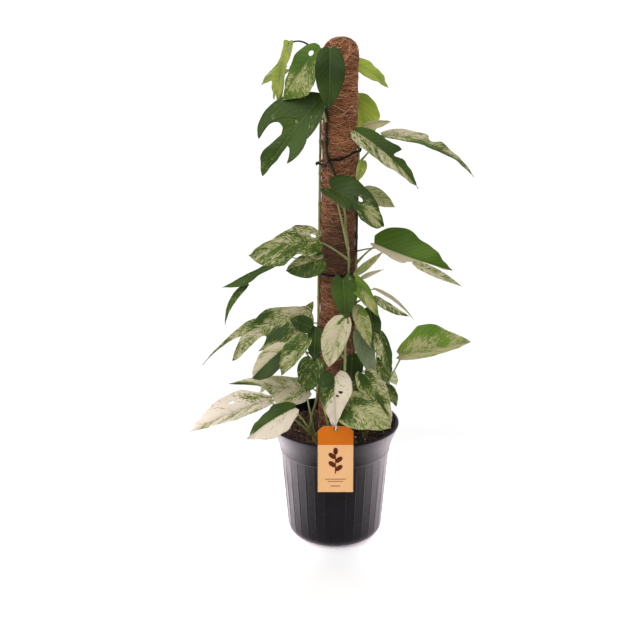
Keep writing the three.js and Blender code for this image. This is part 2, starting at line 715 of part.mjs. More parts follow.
// The string passes through the tag's hole and round the front leaf's stalk.
function stringSolid() {
  const front = CUTTINGS.find(({ name }) => name === "cutting_front");
  const [x, y] = front.foot;
  const stalk = stalkPoints(front.leaves[0], new THREE.Vector3(x, y, CROWN_TOP - 8));
  const held = new THREE.CatmullRomCurve3(stalk).getPoint(STRING_HOLD);
  const reach = STALK_RADIUS + STRING_RADIUS + 0.6;
  const holeZ = TAG.top - 6;
  const faceY = TAG.y - TAG.thickness / 2;
  const points = [
    [0, faceY, holeZ],
    [0, faceY - 2.4, holeZ + 1.6],
    [0.8, faceY - 1.4, TAG.top + 2],
    [held.x + reach, mix(faceY, held.y, 0.55), mix(TAG.top, held.z, 0.5)],
    [held.x + reach, held.y - 1, held.z - 0.6],
    [held.x + reach * 0.7, held.y + reach * 0.8, held.z],
    [held.x, held.y + reach * 1.2, held.z + 0.2],
    [held.x - reach * 0.7, held.y + reach * 0.8, held.z],
    [held.x - reach, held.y - 1, held.z - 0.6],
    [held.x - reach, mix(faceY, held.y, 0.55), mix(TAG.top, held.z, 0.4) - 2],
    [-0.8, faceY + 3.2, holeZ + 3],
    [0, faceY + 2.2, holeZ + 0.6],
  ].map(vec);
  const curve = new THREE.CatmullRomCurve3(points, true);
  const rings = [];
  for (let i = 0; i < STRING_STEPS; i++) {
    const p = curve.getPointAt(i / STRING_STEPS);
    const along = curve.getTangentAt(i / STRING_STEPS);
    const side = new THREE.Vector3(1, 0, 0).addScaledVector(along, -along.x).normalize();
    const other = along.clone().cross(side);
    const ring = [];
    for (let j = 0; j < STRING_SIDES; j++) {
      const a = (2 * Math.PI * j) / STRING_SIDES;
      const out = side.clone().multiplyScalar(Math.cos(a)).addScaledVector(other, Math.sin(a));
      ring.push(p.clone().addScaledVector(out, STRING_RADIUS));
    }
    rings.push(ring);
  }
  return closedLoft(rings);
}

function meshOf(name, body, colour, roughness) {
  const { vertProperties, triVerts, numProp, numVert } = body.getMesh();
  const positions = new Float32Array(numVert * 3);
  for (let i = 0; i < numVert; i++) positions.set(vertProperties.subarray(i * numProp, i * numProp + 3), i * 3);
  const geometry = new THREE.BufferGeometry();
  geometry.setAttribute("position", new THREE.BufferAttribute(positions, 3));
  geometry.setIndex(new THREE.BufferAttribute(new Uint32Array(triVerts), 1));
  geometry.computeVertexNormals();
  const mesh = new THREE.Mesh(geometry, new THREE.MeshStandardMaterial({ color: colour, roughness }));
  mesh.name = name;
  return mesh;
}

const BLACK_PLASTIC = "#25262b";
const LEAF_GREEN = "#5d8a3c";

const plant = new THREE.Group();
plant.name = "potted_pothos";
plant.add(meshOf("pot", potSolid(), BLACK_PLASTIC, 0.4));
plant.add(meshOf("soil", soilSolid(), "#2e211b", 1));
plant.add(meshOf("stake", stakeSolid(), "#8a6a48", 0.8));
plant.add(meshOf("coir_sleeve", coirSolid(), "#8a5646", 1));
for (const vine of VINES) plant.add(meshOf(vine.name, vineSolid(vine), LEAF_GREEN, 0.5));
for (const cutting of CUTTINGS) plant.add(meshOf(cutting.name, cuttingSolid(cutting), LEAF_GREEN, 0.5));
plant.add(meshOf("tie_upper", tieSolid(UPPER_TIE), BLACK_PLASTIC, 0.4));
plant.add(meshOf("tie_lower", tieSolid(LOWER_TIE), BLACK_PLASTIC, 0.4));
plant.add(meshOf("tag", tagSolid(), "#f3c795", 0.7));
plant.add(meshOf("tag_string", stringSolid(), "#f2efe6", 0.9));

export default plant;
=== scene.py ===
"""Looks of a marbled pothos climbing a coir pole, in a black fluted nursery pot with a plain hang tag.

Sizes in the tables and dataclasses are millimetres in the part's own frame: +Z up, the front towards -Y, the
origin under the middle of the pot. Meshes are made in metres.
"""

import logging
import math
from dataclasses import dataclass, field
from enum import Enum, IntEnum

import bpy
import numpy as np
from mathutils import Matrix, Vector


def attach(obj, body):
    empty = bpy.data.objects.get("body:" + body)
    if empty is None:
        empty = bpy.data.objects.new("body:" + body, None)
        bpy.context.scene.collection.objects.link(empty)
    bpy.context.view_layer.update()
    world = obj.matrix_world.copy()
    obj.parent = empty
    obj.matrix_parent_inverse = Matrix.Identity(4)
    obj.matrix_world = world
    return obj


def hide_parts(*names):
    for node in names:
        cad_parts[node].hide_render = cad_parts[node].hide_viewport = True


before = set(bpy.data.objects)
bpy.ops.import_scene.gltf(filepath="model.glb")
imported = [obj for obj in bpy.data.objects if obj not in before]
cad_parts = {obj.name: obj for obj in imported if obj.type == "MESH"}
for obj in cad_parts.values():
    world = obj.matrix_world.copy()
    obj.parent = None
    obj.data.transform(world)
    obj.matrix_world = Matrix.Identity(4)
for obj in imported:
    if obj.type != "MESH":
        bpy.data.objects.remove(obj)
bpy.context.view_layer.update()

LOG = logging.getLogger("pothos")
MM = 0.001
TINY = 1e-9
Pair = tuple[float, float]
Point = tuple[float, float, float]
Numbers = np.ndarray | float
Tree = bpy.types.NodeTree
Piece = bpy.types.Object
Draw = np.random.Generator
ROOT = "root"

# Settings of shader nodes that are used more than once.
SCALE = {"operation": "MULTIPLY"}
SCALE_AND_ADD = {"operation": "MULTIPLY_ADD"}
BLEND = {"data_type": "RGBA"}
TINT = {"data_type": "RGBA", "blend_type": "MULTIPLY"}
SMOOTH = {"interpolation_type": "SMOOTHSTEP"}

# Steps between the patterns of two leaves and of two stems.
SEED_STEP = 0.37
STEM_SEED_STEP = 1.7
# Size of a bar's closing ring beside the ring next to it.
CLOSING_RING = 0.02

# Each tie: name, height, tilt and the knob's degrees from the front.
TIES = (("tie_upper", 583, 11, -70), ("tie_lower", 414, 2, 58))


class Outline(Enum):
    """Outline of a blade, as rows of (place along the midrib, vein slant in degrees, vein length)."""

    HEART = (
        (0, -48, 0.50), (0.06, -30, 0.82), (0.15, -8, 0.98), (0.28, 14, 1), (0.43, 28, 0.88),
        (0.58, 38, 0.73), (0.73, 46, 0.53), (0.87, 52, 0.28), (1, 60, 0.012),
    )
    OVAL = (
        (0, -30, 0.30), (0.08, -8, 0.70), (0.20, 12, 0.95), (0.36, 24, 1), (0.52, 32, 0.88),
        (0.68, 40, 0.66), (0.84, 48, 0.36), (1, 60, 0.015),
    )
    LONG_CLAW = (
        (0, -45, 0.12), (0.06, -27, 0.46), (0.11, -19, 0.74), (0.16, -11, 1.01), (0.215, 2, 1.21),
        (0.265, 15, 1.33), (0.31, 31, 1.33), (0.335, 18, 1), (0.36, 3, 0.77), (0.39, -9, 0.50),
        (0.43, -8, 0.33), (0.49, 3, 0.28), (0.58, 0, 0.33), (0.70, -8, 0.39), (0.82, -14, 0.35),
        (0.93, -19, 0.18), (1, 0, 0.012),
    )
    SHORT_CLAW = (
        (0, -60, 0.10), (0.06, -60, 0.20), (0.13, -20, 0.41), (0.20, -1, 0.62), (0.25, 11, 0.74),
        (0.29, 22, 0.85), (0.33, 22, 1.05), (0.365, 31, 1.25), (0.39, 28, 0.94), (0.42, 28, 0.60),
        (0.47, 40, 0.40), (0.66, 33, 0.26), (0.85, 20, 0.14), (1, 0, 0.012),
    )
    TWISTED_OUTER = (
        (0, -11, 0.39), (0.08, -7, 0.32), (0.17, 0, 0.28), (0.28, 17, 0.26), (0.36, 20, 0.34),
        (0.42, 8, 0.52), (0.48, 13, 0.65), (0.57, 23, 0.61), (0.66, 32, 0.45), (0.8, 28, 0.32),
        (0.92, 32, 0.17), (1, 30, 0.02),
    )
    TWISTED_INNER = (
        (0, -37, 0.30), (0.08, -20, 0.40), (0.2, -17, 0.45), (0.31, -15, 0.45), (0.4, -4, 0.47),
        (0.47, 11, 0.56), (0.53, 22, 0.65), (0.58, 27, 0.88), (0.63, 43, 1.19), (0.68, 50, 1.29),
        (0.73, 40, 0.66), (0.79, 0, 0.2), (0.87, 0, 0.14), (1, 30, 0.02),
    )
    BROAD_UPPER = (
        (0, -31, 0.11), (0.05, -30, 0.36), (0.1, -25, 0.49), (0.17, -17, 0.60), (0.26, -11, 0.66),
        (0.37, -6, 0.62), (0.47, -3, 0.55), (0.56, -2, 0.49), (0.66, -3, 0.38), (0.77, -5, 0.26),
        (0.88, -11, 0.15), (1, 0, 0.02),
    )
    BROAD_LOWER = (
        (0, 2, 0.13), (0.08, -1, 0.35), (0.18, 1, 0.51), (0.28, 1, 0.66), (0.36, 3, 0.79), (0.45, 3, 0.93),
        (0.52, 4, 1.02), (0.6, 3, 1.09), (0.7, 1, 1.08), (0.82, 0, 0.77), (0.92, -6, 0.40), (1, 0, 0.02),
    )
    NOTCHED_UPPER = (
        (0, -27, 0.41), (0.05, -14, 0.27), (0.1, -1, 0.27), (0.17, 15, 0.40), (0.25, 19, 0.57),
        (0.32, 23, 0.68), (0.4, 25, 0.63), (0.49, 30, 0.52), (0.57, 36, 0.51), (0.64, 37, 0.49),
        (0.75, 39, 0.35), (0.87, 52, 0.20), (0.96, 60, 0.10), (1, 60, 0.012),
    )
    NOTCHED_LOWER = (
        (0, -8, 0.42), (0.06, -18, 0.62), (0.14, 1, 0.87), (0.23, 15, 1.00), (0.31, 22, 0.98),
        (0.38, 31, 1.01), (0.45, 42, 1.10), (0.49, 33, 0.82), (0.53, 13, 0.54), (0.56, -10, 0.37),
        (0.59, -31, 0.24), (0.63, -36, 0.19), (0.71, -22, 0.18), (0.82, -11, 0.19), (0.91, -10, 0.19),
        (0.97, -2, 0.10), (1, 60, 0.012),
    )
    TAIL = (
        (0, -5, 0.8), (0.14, 8, 1), (0.32, 20, 0.62), (0.55, 30, 0.30), (0.80, 42, 0.14), (1, 60, 0.02),
    )
    STRAP = (
        (0, -10, 0.25), (0.12, 10, 0.80), (0.34, 25, 1), (0.60, 36, 0.85), (0.82, 46, 0.45), (1, 60, 0.03),
    )


class Green(Enum):
    """Ground colour of a leaf as sRGB hex: full sun side, then the shade between its veins."""

    DARK = ("#3f5220", "#283818")
    MID = ("#485d22", "#304418")
    BRIGHT = ("#7a9a2c", "#4b6b20")
    YELLOW = ("#a9b058", "#87953f")
    FRESH = ("#587520", "#3c5618")
    LIME = ("#adba48", "#869a38")
    # Grey-green that stands in for the pale sheen on a leaf face: painted sheen.
    GREY = ("#7b8769", "#5f6b4c")


class Side(Enum):
    """Half of a blade, seen with its upper face towards the eye and its tip up."""

    LEFT = -1
    RIGHT = 1


class Skin(IntEnum):
    """Place of each material in a leafy stem's list."""

    FACE = 0
    UNDERSIDE = 1
    STALK = 2
    STEM = 3
    ROOT = 4


# Plain names for the leaf table.
LEFT, RIGHT = Side
DARK, MID, BRIGHT, YELLOW, FRESH, LIME, GREY = Green
HEART, OVAL, LONG_CLAW, SHORT_CLAW, TWISTED_OUTER, TWISTED_INNER, *OTHERS = Outline
BROAD_UPPER, BROAD_LOWER, NOTCHED_UPPER, NOTCHED_LOWER, TAIL, STRAP = OTHERS


@dataclass(frozen=True)
class Leaf:
    """One leaf: where it sits, its shape and its marbling.

    at is where its blade begins and tip where it ends, face is the way its upper side looks, and node is the
    height of its joint on a vine. left_shape is the left half's outline where it differs, halves scales the
    reach of each half, sweep turns the veins' ends to the tip in degrees and swing bends the midrib to the
    right in millimetres. A cut is (side, place along the midrib, depth, half the gap's length), and a cut of
    negative depth is a claw. A hole is (side, place, distance out, half length, half width), all as shares of
    the blade. cream holds how much of the left and the right half is cream: 0.5 is half of it, and under 0 it
    has hardly a fleck. A spot is (side, place, distance out, radius, change of cream). A lobe is part of the
    leaf before it and has no stalk.
    """

    at: Point
    tip: Point
    width: float
    face: Point
    node: float = 0.0
    arch: float = 4.0
    shape: Outline = HEART
    left_shape: Outline | None = None
    halves: Pair = (1.0, 1.0)
    sweep: float = 0.0
    swing: float = 0.0
    cuts: tuple[tuple[Side, float, float, float], ...] = ()
    holes: tuple[tuple[Side, float, float, float, float], ...] = ()
    spots: tuple[tuple[Side, float, float, float, float], ...] = ()
    bow: Point = (0, 0, 6)
    lobe: bool = False
    cream: Pair = (0.5, 0.5)
    green: Green = MID
    blush: float = 0.4
    wave: float = 1.0
    old_stalk: float = 0.0


# Each vine's turns round the pole, as heights and degrees from the front.
TURNS = {
    "vine_left": ((120, -82), (330, -80), (620, -84), (724, -72)),
    "vine_front": ((120, 26), (300, 28), (430, 35), (500, 20), (545, -4), (600, -44), (694, -48)),
    "vine_right": ((120, 84), (330, 78), (480, 74), (616, 82)),
    "vine_back": ((120, 168), (400, 172), (690, 160)),
}

# What sets a vine apart: its radius, and the heights between which its rind is old and nearly black.
HABITS = {"vine_front": {"aged": (540.0, 700.0), "radius": 1.8}, "vine_right": {"aged": (440.0, 525.0)}}

# Where each cutting stands, in x and y.
FEET = {
    "cutting_left": (-30, -44),
    "cutting_front": (-6, -54),
    "cutting_right": (44, -30),
    "cutting_back": (4, 58),
}

# The leaves of each plant, with a lobe after the leaf that it is part of.
LEAVES = {
    "vine_left": (
        Leaf((-64, -13, 746), (-86, -24, 668), 44, (-0.5, -0.8, 0.3), 716, bow=(4, 0, 26), sweep=20,
             shape=TWISTED_OUTER, left_shape=TWISTED_INNER, cream=(0.05, -0.1), green=YELLOW, blush=-0.3,
             old_stalk=1),
        Leaf((-22, -28, 740), (-73, -42, 671), 60, (-0.4, -0.85, 0.35), 718, 9, shape=BROAD_UPPER,
             left_shape=BROAD_LOWER, holes=((RIGHT, 0.17, 0.2, 0.045, 0.19),), cream=(0.4, -0.4),
             green=FRESH,
             spots=((RIGHT, 0.75, 0.5, 0.24, 0.95), (LEFT, 0.1, 0.4, 0.2, -0.8),
                    (LEFT, 0.85, 0.4, 0.2, -0.3)), blush=-0.3),
        Leaf((-75, -22, 714), (-79, -32, 652), 13, (-0.2, -0.9, 0.3), arch=2, shape=STRAP, lobe=True,
             cream=(0.1, 0.2), green=YELLOW, blush=-0.3),
        Leaf((-70, 8, 704), (-104, 12, 681), 20, (-0.4, -0.7, 0.6), 690, cream=(0.2, 0.3), green=YELLOW),
        Leaf((-62, 8, 434), (-164, 6, 386), 20, (-0.3, -0.75, 0.6), 418, 4, shape=STRAP,
             halves=(0.9, 0.55), swing=-3, cuts=((LEFT, 0.78, -1.3, 0.24), (LEFT, 0.2, 0.4, 0.25)),
             cream=(-0.3, -0.3)),
        Leaf((-126, 4, 392), (-161, 0, 329), 12, (-0.4, -0.8, 0.45), shape=OVAL, lobe=True, swing=7,
             cream=(0, -0.2)),
        Leaf((-34, -30, 360), (-148, -58, 297), 80, (-0.2, -0.92, 0.35), 300, 10, sweep=12, swing=14,
             shape=NOTCHED_UPPER, left_shape=NOTCHED_LOWER, cream=(0.5, 0.56),
             spots=((LEFT, 0.40, 0.5, 0.13, -1), (RIGHT, 0.42, 0.8, 0.14, -0.7))),
        Leaf((-108, -36, 347), (-191, -60, 290), 19, (-0.1, -0.8, 0.6), shape=TAIL, lobe=True, swing=6,
             cream=(0.3, 0.3)),
        Leaf((-34, -56, 346), (-65, -62, 361), 26, (-0.1, -0.85, 0.5), 318, 3, shape=OVAL,
             cream=(-0.4, -0.2), green=DARK),
        Leaf((-69, -74, 324), (-118, -98, 285), 42, (-0.4, -0.8, 0.45), 282, 5, shape=OVAL, sweep=16,
             cuts=((LEFT, 0.6, -0.5, 0.36),), cream=(-0.5, 0.8), green=DARK),
        Leaf((-38, -90, 342), (-76, -112, 295), 44, (-0.2, -0.9, 0.4), 270, 6, shape=OVAL,
             bow=(-20, -6, 4), halves=(0.45, 1), cream=(0.34, 0.4), blush=0.2),
    ),
    "vine_front": (
        Leaf((-19, -40, 675), (-101, -74, 572), 100, (-0.4, -0.88, 0.25), 636, 9, sweep=36,
             shape=LONG_CLAW, left_shape=SHORT_CLAW, holes=((RIGHT, 0.36, 0.12, 0.03, 0.05),),
             cream=(-0.22, -0.18), blush=-0.3, wave=0.8),
        Leaf((-9, -44, 741), (-11, -62, 660), 44, (0.1, -0.95, 0.25), 684, 7, shape=OVAL,
             cream=(-0.5, -0.5), green=DARK),
        Leaf((-7, -50, 548), (65, -84, 503), 62, (0.35, -0.8, 0.5), 452, 9, halves=(0.95, 0.6),
             cuts=((RIGHT, 0.42, 0.5, 0.05), (RIGHT, 0.68, -0.75, 0.26)),
             holes=((LEFT, 0.42, 0.3, 0.065, 0.12),), cream=(-0.35, -0.2),
             spots=((RIGHT, 0.75, 0.5, 0.25, 0.95), (LEFT, 0.72, 0.4, 0.26, 0.85)), green=DARK, blush=0),
        Leaf((38, -36, 542), (82, -44, 520), 26, (0.2, -0.9, 0.35), 520, 3, shape=OVAL, cream=(0.5, 0.62),
             green=GREY, blush=0),
        Leaf((-24, -42, 472), (-122, -62, 455), 62, (-0.2, -0.78, 0.6), 436, 10, shape=OVAL,
             halves=(0.95, 0.78), holes=((RIGHT, 0.08, 0.3, 0.035, 0.12),), cream=(0.3, 0.4),
             cuts=((LEFT, 0.3, 0.3, 0.08), (LEFT, 0.68, -0.5, 0.3), (RIGHT, 0.6, 0.3, 0.3),
                   (RIGHT, 0.1, -0.2, 0.14))),
        Leaf((-18, -46, 446), (-70, -56, 431), 40, (-0.2, -0.85, 0.4), arch=3, shape=OVAL, lobe=True,
             halves=(1.2, 0.7), cream=(0.15, 0.4)),
        Leaf((14, -76, 366), (-10, -98, 302), 50, (-0.15, -0.93, 0.35), 262, 6, shape=OVAL,
             halves=(0.6, 1), cream=(0.78, 0.84),
             spots=((RIGHT, 0.06, 0.3, 0.1, -1), (LEFT, 0.05, 0.5, 0.08, -0.9)), blush=0.35),
        Leaf((-28, -50, 345), (-30, -60, 295), 26, (-0.2, -0.9, 0.3), 286, 3, shape=OVAL,
             cream=(-0.6, -0.6), green=DARK),
    ),
    "vine_right": (
        Leaf((38, -8, 627), (76, -16, 635), 24, (0, -0.75, 0.65), 610, shape=OVAL, halves=(0.25, 1),
             cream=(0.9, 0.9), green=YELLOW, blush=0.1),
        Leaf((25, -38, 627), (112, -75, 555), 44, (0.5, -0.65, 0.55), 604, 9, shape=OVAL, sweep=8,
             halves=(1, 1.15), cuts=((LEFT, 0.42, -0.25, 0.06), (LEFT, 0.5, 0.6, 0.05)), cream=(-0.4, 0.5)),
        Leaf((64, -2, 613), (196, 5, 551), 31, (0.35, -0.45, 0.85), 572, 20, shape=OVAL,
             halves=(1.15, 0.75), cuts=((LEFT, 0.44, 0.6, 0.05),), cream=(0.4, 0.1),
             spots=((LEFT, 0.25, 0.6, 0.25, 0.45), (RIGHT, 0.15, 0.5, 0.2, 0.5))),
        Leaf((38, -38, 585), (28, -46, 556), 15, (0.1, -1, 0.1), 560, shape=OVAL, cream=(0.1, 0.2),
             green=YELLOW),
        Leaf((55, -16, 459), (164, -40, 426), 70, (0.2, -0.75, 0.65), 426, 9, shape=OVAL,
             halves=(1.02, 0.32),
             cuts=((RIGHT, 0.26, -0.6, 0.07), (RIGHT, 0.74, 0.95, 0.3), (LEFT, 0.12, -0.2, 0.18)), swing=7,
             cream=(-0.6, 1.1), green=FRESH),
        Leaf((108, -49, 441), (178, -54, 407), 15, (0.1, -0.85, 0.5), arch=3, shape=STRAP, lobe=True,
             cream=(0.5, 0.66)),
        Leaf((26, -24, 414), (68, -30, 452), 13, (0.3, -0.9, 0.3), arch=2, shape=STRAP, lobe=True,
             cream=(0.5, 0.6), green=YELLOW, blush=-0.1),
        Leaf((35, -20, 407), (69, -28, 424), 8, (-0.3, -0.9, 0.5), 396, shape=STRAP, cream=(0.8, 0.9),
             green=YELLOW),
        Leaf((54, -22, 394), (112, -34, 350), 8, (0.5, -0.6, 0.7), 374, 5, shape=STRAP, swing=-3,
             cream=(1, 1)),
        Leaf((10, -51, 417), (14, -60, 358), 36, (0.05, -0.96, 0.25), 386, 4, bow=(6, -16, 4),
             cream=(-0.4, -0.3)),
        Leaf((28, -40, 413), (61, -60, 364), 42, (0.45, -0.85, 0.3), 392, 5, halves=(0.40, 0.78),
             cream=(-0.2, 0), spots=((LEFT, 0.7, 0.3, 0.3, 0.6), (RIGHT, 0.6, 0.4, 0.3, 0.5)),
             green=BRIGHT, blush=-0.6),
        Leaf((29, -48, 376), (50, -60, 317), 25, (0.3, -0.95, 0.15), 352, 4, shape=OVAL,
             cream=(0.45, 0.75), green=BRIGHT, blush=-0.1),
        Leaf((47, -34, 368), (57, -46, 317), 28, (0.45, -0.85, 0.25), 340, 4, shape=OVAL,
             cream=(-0.4, -0.4), green=DARK),
        Leaf((55, -36, 387), (105, -50, 361), 19, (0.3, -0.8, 0.5), 366, 4, shape=STRAP, swing=4,
             halves=(0.5, 1), cream=(0.3, 0.2)),
        # Its plain grey-green ground is painted sheen over the leaf face.
        Leaf((32, -44, 339), (52, -50, 270), 31, (0.35, -0.93, 0.1), 306, 6, shape=OVAL,
             cream=(-0.3, -0.2), green=GREY),
    ),
    "vine_back": (
        Leaf((19, 38, 708), (75, 50, 669), 36, (0.35, -0.5, 0.8), 680, 6, shape=OVAL, cream=(-0.3, -0.2),
             green=LIME, blush=-0.9),
        Leaf((27, 42, 657), (44, 38, 600), 60, (0.3, -0.85, 0.4), 638, 6, shape=OVAL, halves=(0.92, 0.5),
             cream=(-0.3, -0.1), green=LIME, blush=-0.9),
        Leaf((-26, 44, 630), (-78, 70, 590), 46, (-0.4, 0.7, 0.6), 606, 7, cream=(0.2, 0.5)),
        Leaf((2, 50, 522), (5, 78, 450), 46, (0, 0.9, 0.45), 490, 7, cream=(0.5, 0.3)),
        Leaf((-34, 46, 432), (-100, 78, 402), 46, (-0.3, 0.6, 0.75), 424, 7, cream=(0.4, 0.6)),
        Leaf((62, 46, 434), (130, 78, 400), 44, (0.3, 0.6, 0.75), 426, 7, cream=(0.2, 0.4)),
        Leaf((0, 52, 384), (-5, 84, 318), 48, (0, 0.9, 0.45), 350, 7, cream=(0.6, 0.2)),
        Leaf((-34, 52, 314), (-88, 86, 286), 54, (-0.35, 0.65, 0.7), 270, 8, cream=(0.3, 0.8)),
        Leaf((32, 52, 306), (64, 90, 266), 46, (0.3, 0.75, 0.6), 264, 7, cream=(0.5, 0.5)),
    ),
    "cutting_left": (
        Leaf((-38, -56, 252), (-153, -60, 262), 54, (-0.1, -0.86, 0.5), arch=6, shape=OVAL,
             halves=(1.1, 0.6), cuts=((LEFT, 0.3, -0.2, 0.05), (LEFT, 0.72, 0.97, 0.36)),
             cream=(0.66, 0.68), spots=((LEFT, 0.85, 0.3, 0.26, -0.9), (RIGHT, 0.9, 0.3, 0.2, -0.8)),
             blush=0.5),
        Leaf((-93, -32, 227), (-211, -46, 181), 62, (-0.2, -0.75, 0.65), arch=10, shape=OVAL,
             halves=(0.5, 0.96), cuts=((RIGHT, 0.02, 0.5, 0.16),), cream=(0.64, 0.9),
             holes=((RIGHT, 0.39, 0.5, 0.035, 0.07),), blush=1, spots=((RIGHT, 0.08, 0.5, 0.2, -0.45),)),
        Leaf((-57, -98, 240), (-124, -128, 205), 52, (-0.3, -0.68, 0.68), arch=8, shape=OVAL,
             halves=(1.25, 0.62), sweep=10,
             cuts=((LEFT, 0.06, 0.35, 0.14), (LEFT, 0.5, -0.14, 0.3), (RIGHT, 0.1, -0.3, 0.14)),
             cream=(1, -0.5), spots=((RIGHT, 1, 0.5, 0.2, 2),), blush=0.8),
    ),
    "cutting_front": (
        Leaf((-2, -88, 283), (0, -118, 221), 50, (0.05, -0.82, 0.55), arch=5, halves=(1, 0.95),
             cream=(0.78, -0.4), cuts=((LEFT, 0.78, 0.32, 0.4),), spots=((RIGHT, 0.95, 0.3, 0.5, 3),),
             holes=((LEFT, 0.3, 0.32, 0.022, 0.13), (LEFT, 0.38, 0.14, 0.025, 0.11)), green=DARK, blush=0.7),
        Leaf((-32, -66, 297), (-41, -82, 259), 40, (-0.1, -0.78, 0.62), arch=4, cream=(0.1, 0.1)),
    ),
    "cutting_right": (
        Leaf((93, -26, 293), (193, -50, 322), 74, (-0.2, -0.88, 0.45), arch=6, shape=OVAL,
             halves=(1, 0.34),
             cuts=((LEFT, 0.04, 0.4, 0.16), (LEFT, 0.36, -0.06, 0.15), (LEFT, 0.7, 0.12, 0.2)),
             cream=(0.46, 0.6), green=BRIGHT, blush=0,
             spots=((LEFT, 0.36, 0.85, 0.15, -0.9), (LEFT, 0.6, 0.35, 0.12, -0.35))),
        Leaf((62, -46, 332), (79, -60, 274), 33, (0.5, -0.85, 0.15), arch=5, halves=(0.6, 1),
             cream=(-0.1, 0.3), green=DARK),
        Leaf((25, -14, 287), (17, -34, 233), 35, (0.3, -0.9, 0.3), arch=4, cream=(-0.5, -0.5), green=DARK),
        Leaf((61, 4, 272), (80, 0, 236), 26, (0.4, -0.8, 0.4), arch=4, cream=(0.2, 0.2)),
        Leaf((42, -60, 276), (79, -90, 207), 46, (0.4, -0.72, 0.6), arch=6, halves=(0.85, 1),
             cream=(0.6, 0.5),
             spots=((LEFT, 0.05, 0.4, 0.16, -0.8), (RIGHT, 0.05, 0.4, 0.18, -0.9),
                    (RIGHT, 0.45, 0.1, 0.18, -0.5), (LEFT, 0.62, 0, 0.2, -0.5))),
        Leaf((17, -88, 244), (78, -118, 218), 54, (0.15, -0.76, 0.64), arch=6, halves=(0.85, 1.3),
             cream=(0.5, 0.56), spots=((RIGHT, 0.12, 0.6, 0.16, -0.9), (LEFT, 0.2, 0.5, 0.16, -0.3)),
             blush=0.1),
        Leaf((72, -36, 251), (88, -56, 225), 22, (0.5, -0.7, 0.5), arch=3, shape=OVAL, cream=(0.1, 0.3),
             green=DARK),
        Leaf((38, -30, 262), (28, -48, 226), 26, (0.2, -0.9, 0.35), arch=3, shape=OVAL, cream=(-0.3, 0.1),
             green=DARK),
    ),
    "cutting_back": (
        Leaf((-48, 64, 219), (-116, 92, 188), 50, (-0.3, 0.6, 0.75), arch=4, cream=(0.3, 0.7)),
        Leaf((46, 66, 230), (96, 104, 196), 56, (0.3, 0.6, 0.75), arch=8, cream=(0.5, 0.4)),
        Leaf((2, 78, 262), (6, 126, 214), 56, (0, 0.7, 0.7), arch=8, cream=(0.6, 0.2)),
    ),
}


def linear(hex_colour: str) -> tuple[float, float, float, float]:
    """Turns an sRGB hex colour to linear values.

    Args:
        hex_colour: Colour as "#rrggbb".

    Returns:
        Red, green and blue as linear values, then full opacity.
    """
    parts = [int(hex_colour[i : i + 2], 16) / 255 for i in (1, 3, 5)]
    values = [c / 12.92 if c <= 0.04045 else ((c + 0.055) / 1.055) ** 2.4 for c in parts]
    return (*values, 1.0)


def tint_of(hex_colour: str) -> np.ndarray:
    """Linear red, green and blue of an sRGB hex colour, as a row for a mesh."""
    return np.array(linear(hex_colour)[:3])


def smoothstep(x: Numbers, low: float, high: float) -> Numbers:
    """Runs smoothly from 0 at low to 1 at high."""
    t = np.clip((x - low) / (high - low), 0.0, 1.0)
    return t * t * (3 - 2 * t)


def unit(v: np.ndarray) -> np.ndarray:
    """Scales vectors along the last axis to length 1."""
    return v / np.maximum(np.linalg.norm(v, axis=-1, keepdims=True), 1e-12)


def circle(count: int) -> np.ndarray:
    """Angles in radians, evenly round a circle."""
    return np.linspace(0, 2 * np.pi, count, endpoint=False)


def add_node(tree: Tree, kind: str, settings: dict | None = None, **inputs: object) -> bpy.types.Node:
    """Adds a shader node with its settings, values and links.

    Args:
        tree: Node tree to add to.
        kind: Node type after the words ShaderNode, such as "TexNoise".
        settings: Attributes to set on the node.
        **inputs: Socket by name with _ for a space, or i0, i1 for its place. A socket is linked, a node is
            linked by its first open output, a hex colour is set as linear, and any other value is set.

    Returns:
        The new node.
    """
    node = tree.nodes.new("ShaderNode" + kind)
    for key, value in (settings or {}).items():
        setattr(node, key, value)
    for key, value in inputs.items():
        by_place = key[0] == "i" and key[1:].isdigit()
        socket = node.inputs[int(key[1:]) if by_place else key.replace("_", " ")]
        if isinstance(value, bpy.types.Node):
            value = next(output for output in value.outputs if output.enabled)
        if isinstance(value, bpy.types.NodeSocket):
            tree.links.new(value, socket)
        else:
            socket.default_value = linear(value) if isinstance(value, str) else value
    return node


@dataclass(frozen=True)
class Finish:
    """A surface with one ground colour: what it is made of sets its gloss and roughness."""

    name: str
    colour: str
    roughness: float = 0.5
    ior: float = 1.5
    specular: float = 0.5

    def pattern(self, tree: Tree) -> dict[str, object]:
        """Adds the pattern's nodes, none on a plain surface, and gives the shader inputs that they drive."""
        return {}

    def build(self) -> bpy.types.Material:
        """Makes the material: the pattern first, then the shader that takes it in.

        Returns:
            The material.
        """
        material = bpy.data.materials.new(self.name)
        material.diffuse_color = linear(self.colour)
        material.use_nodes = True
        tree = material.node_tree
        tree.nodes.clear()
        values = {"Base_Color": self.colour, "Roughness": self.roughness, "IOR": self.ior}
        values |= {"Specular_IOR_Level": self.specular, **self.pattern(tree)}
        add_node(tree, "OutputMaterial", Surface=add_node(tree, "BsdfPrincipled", **values))
        return material


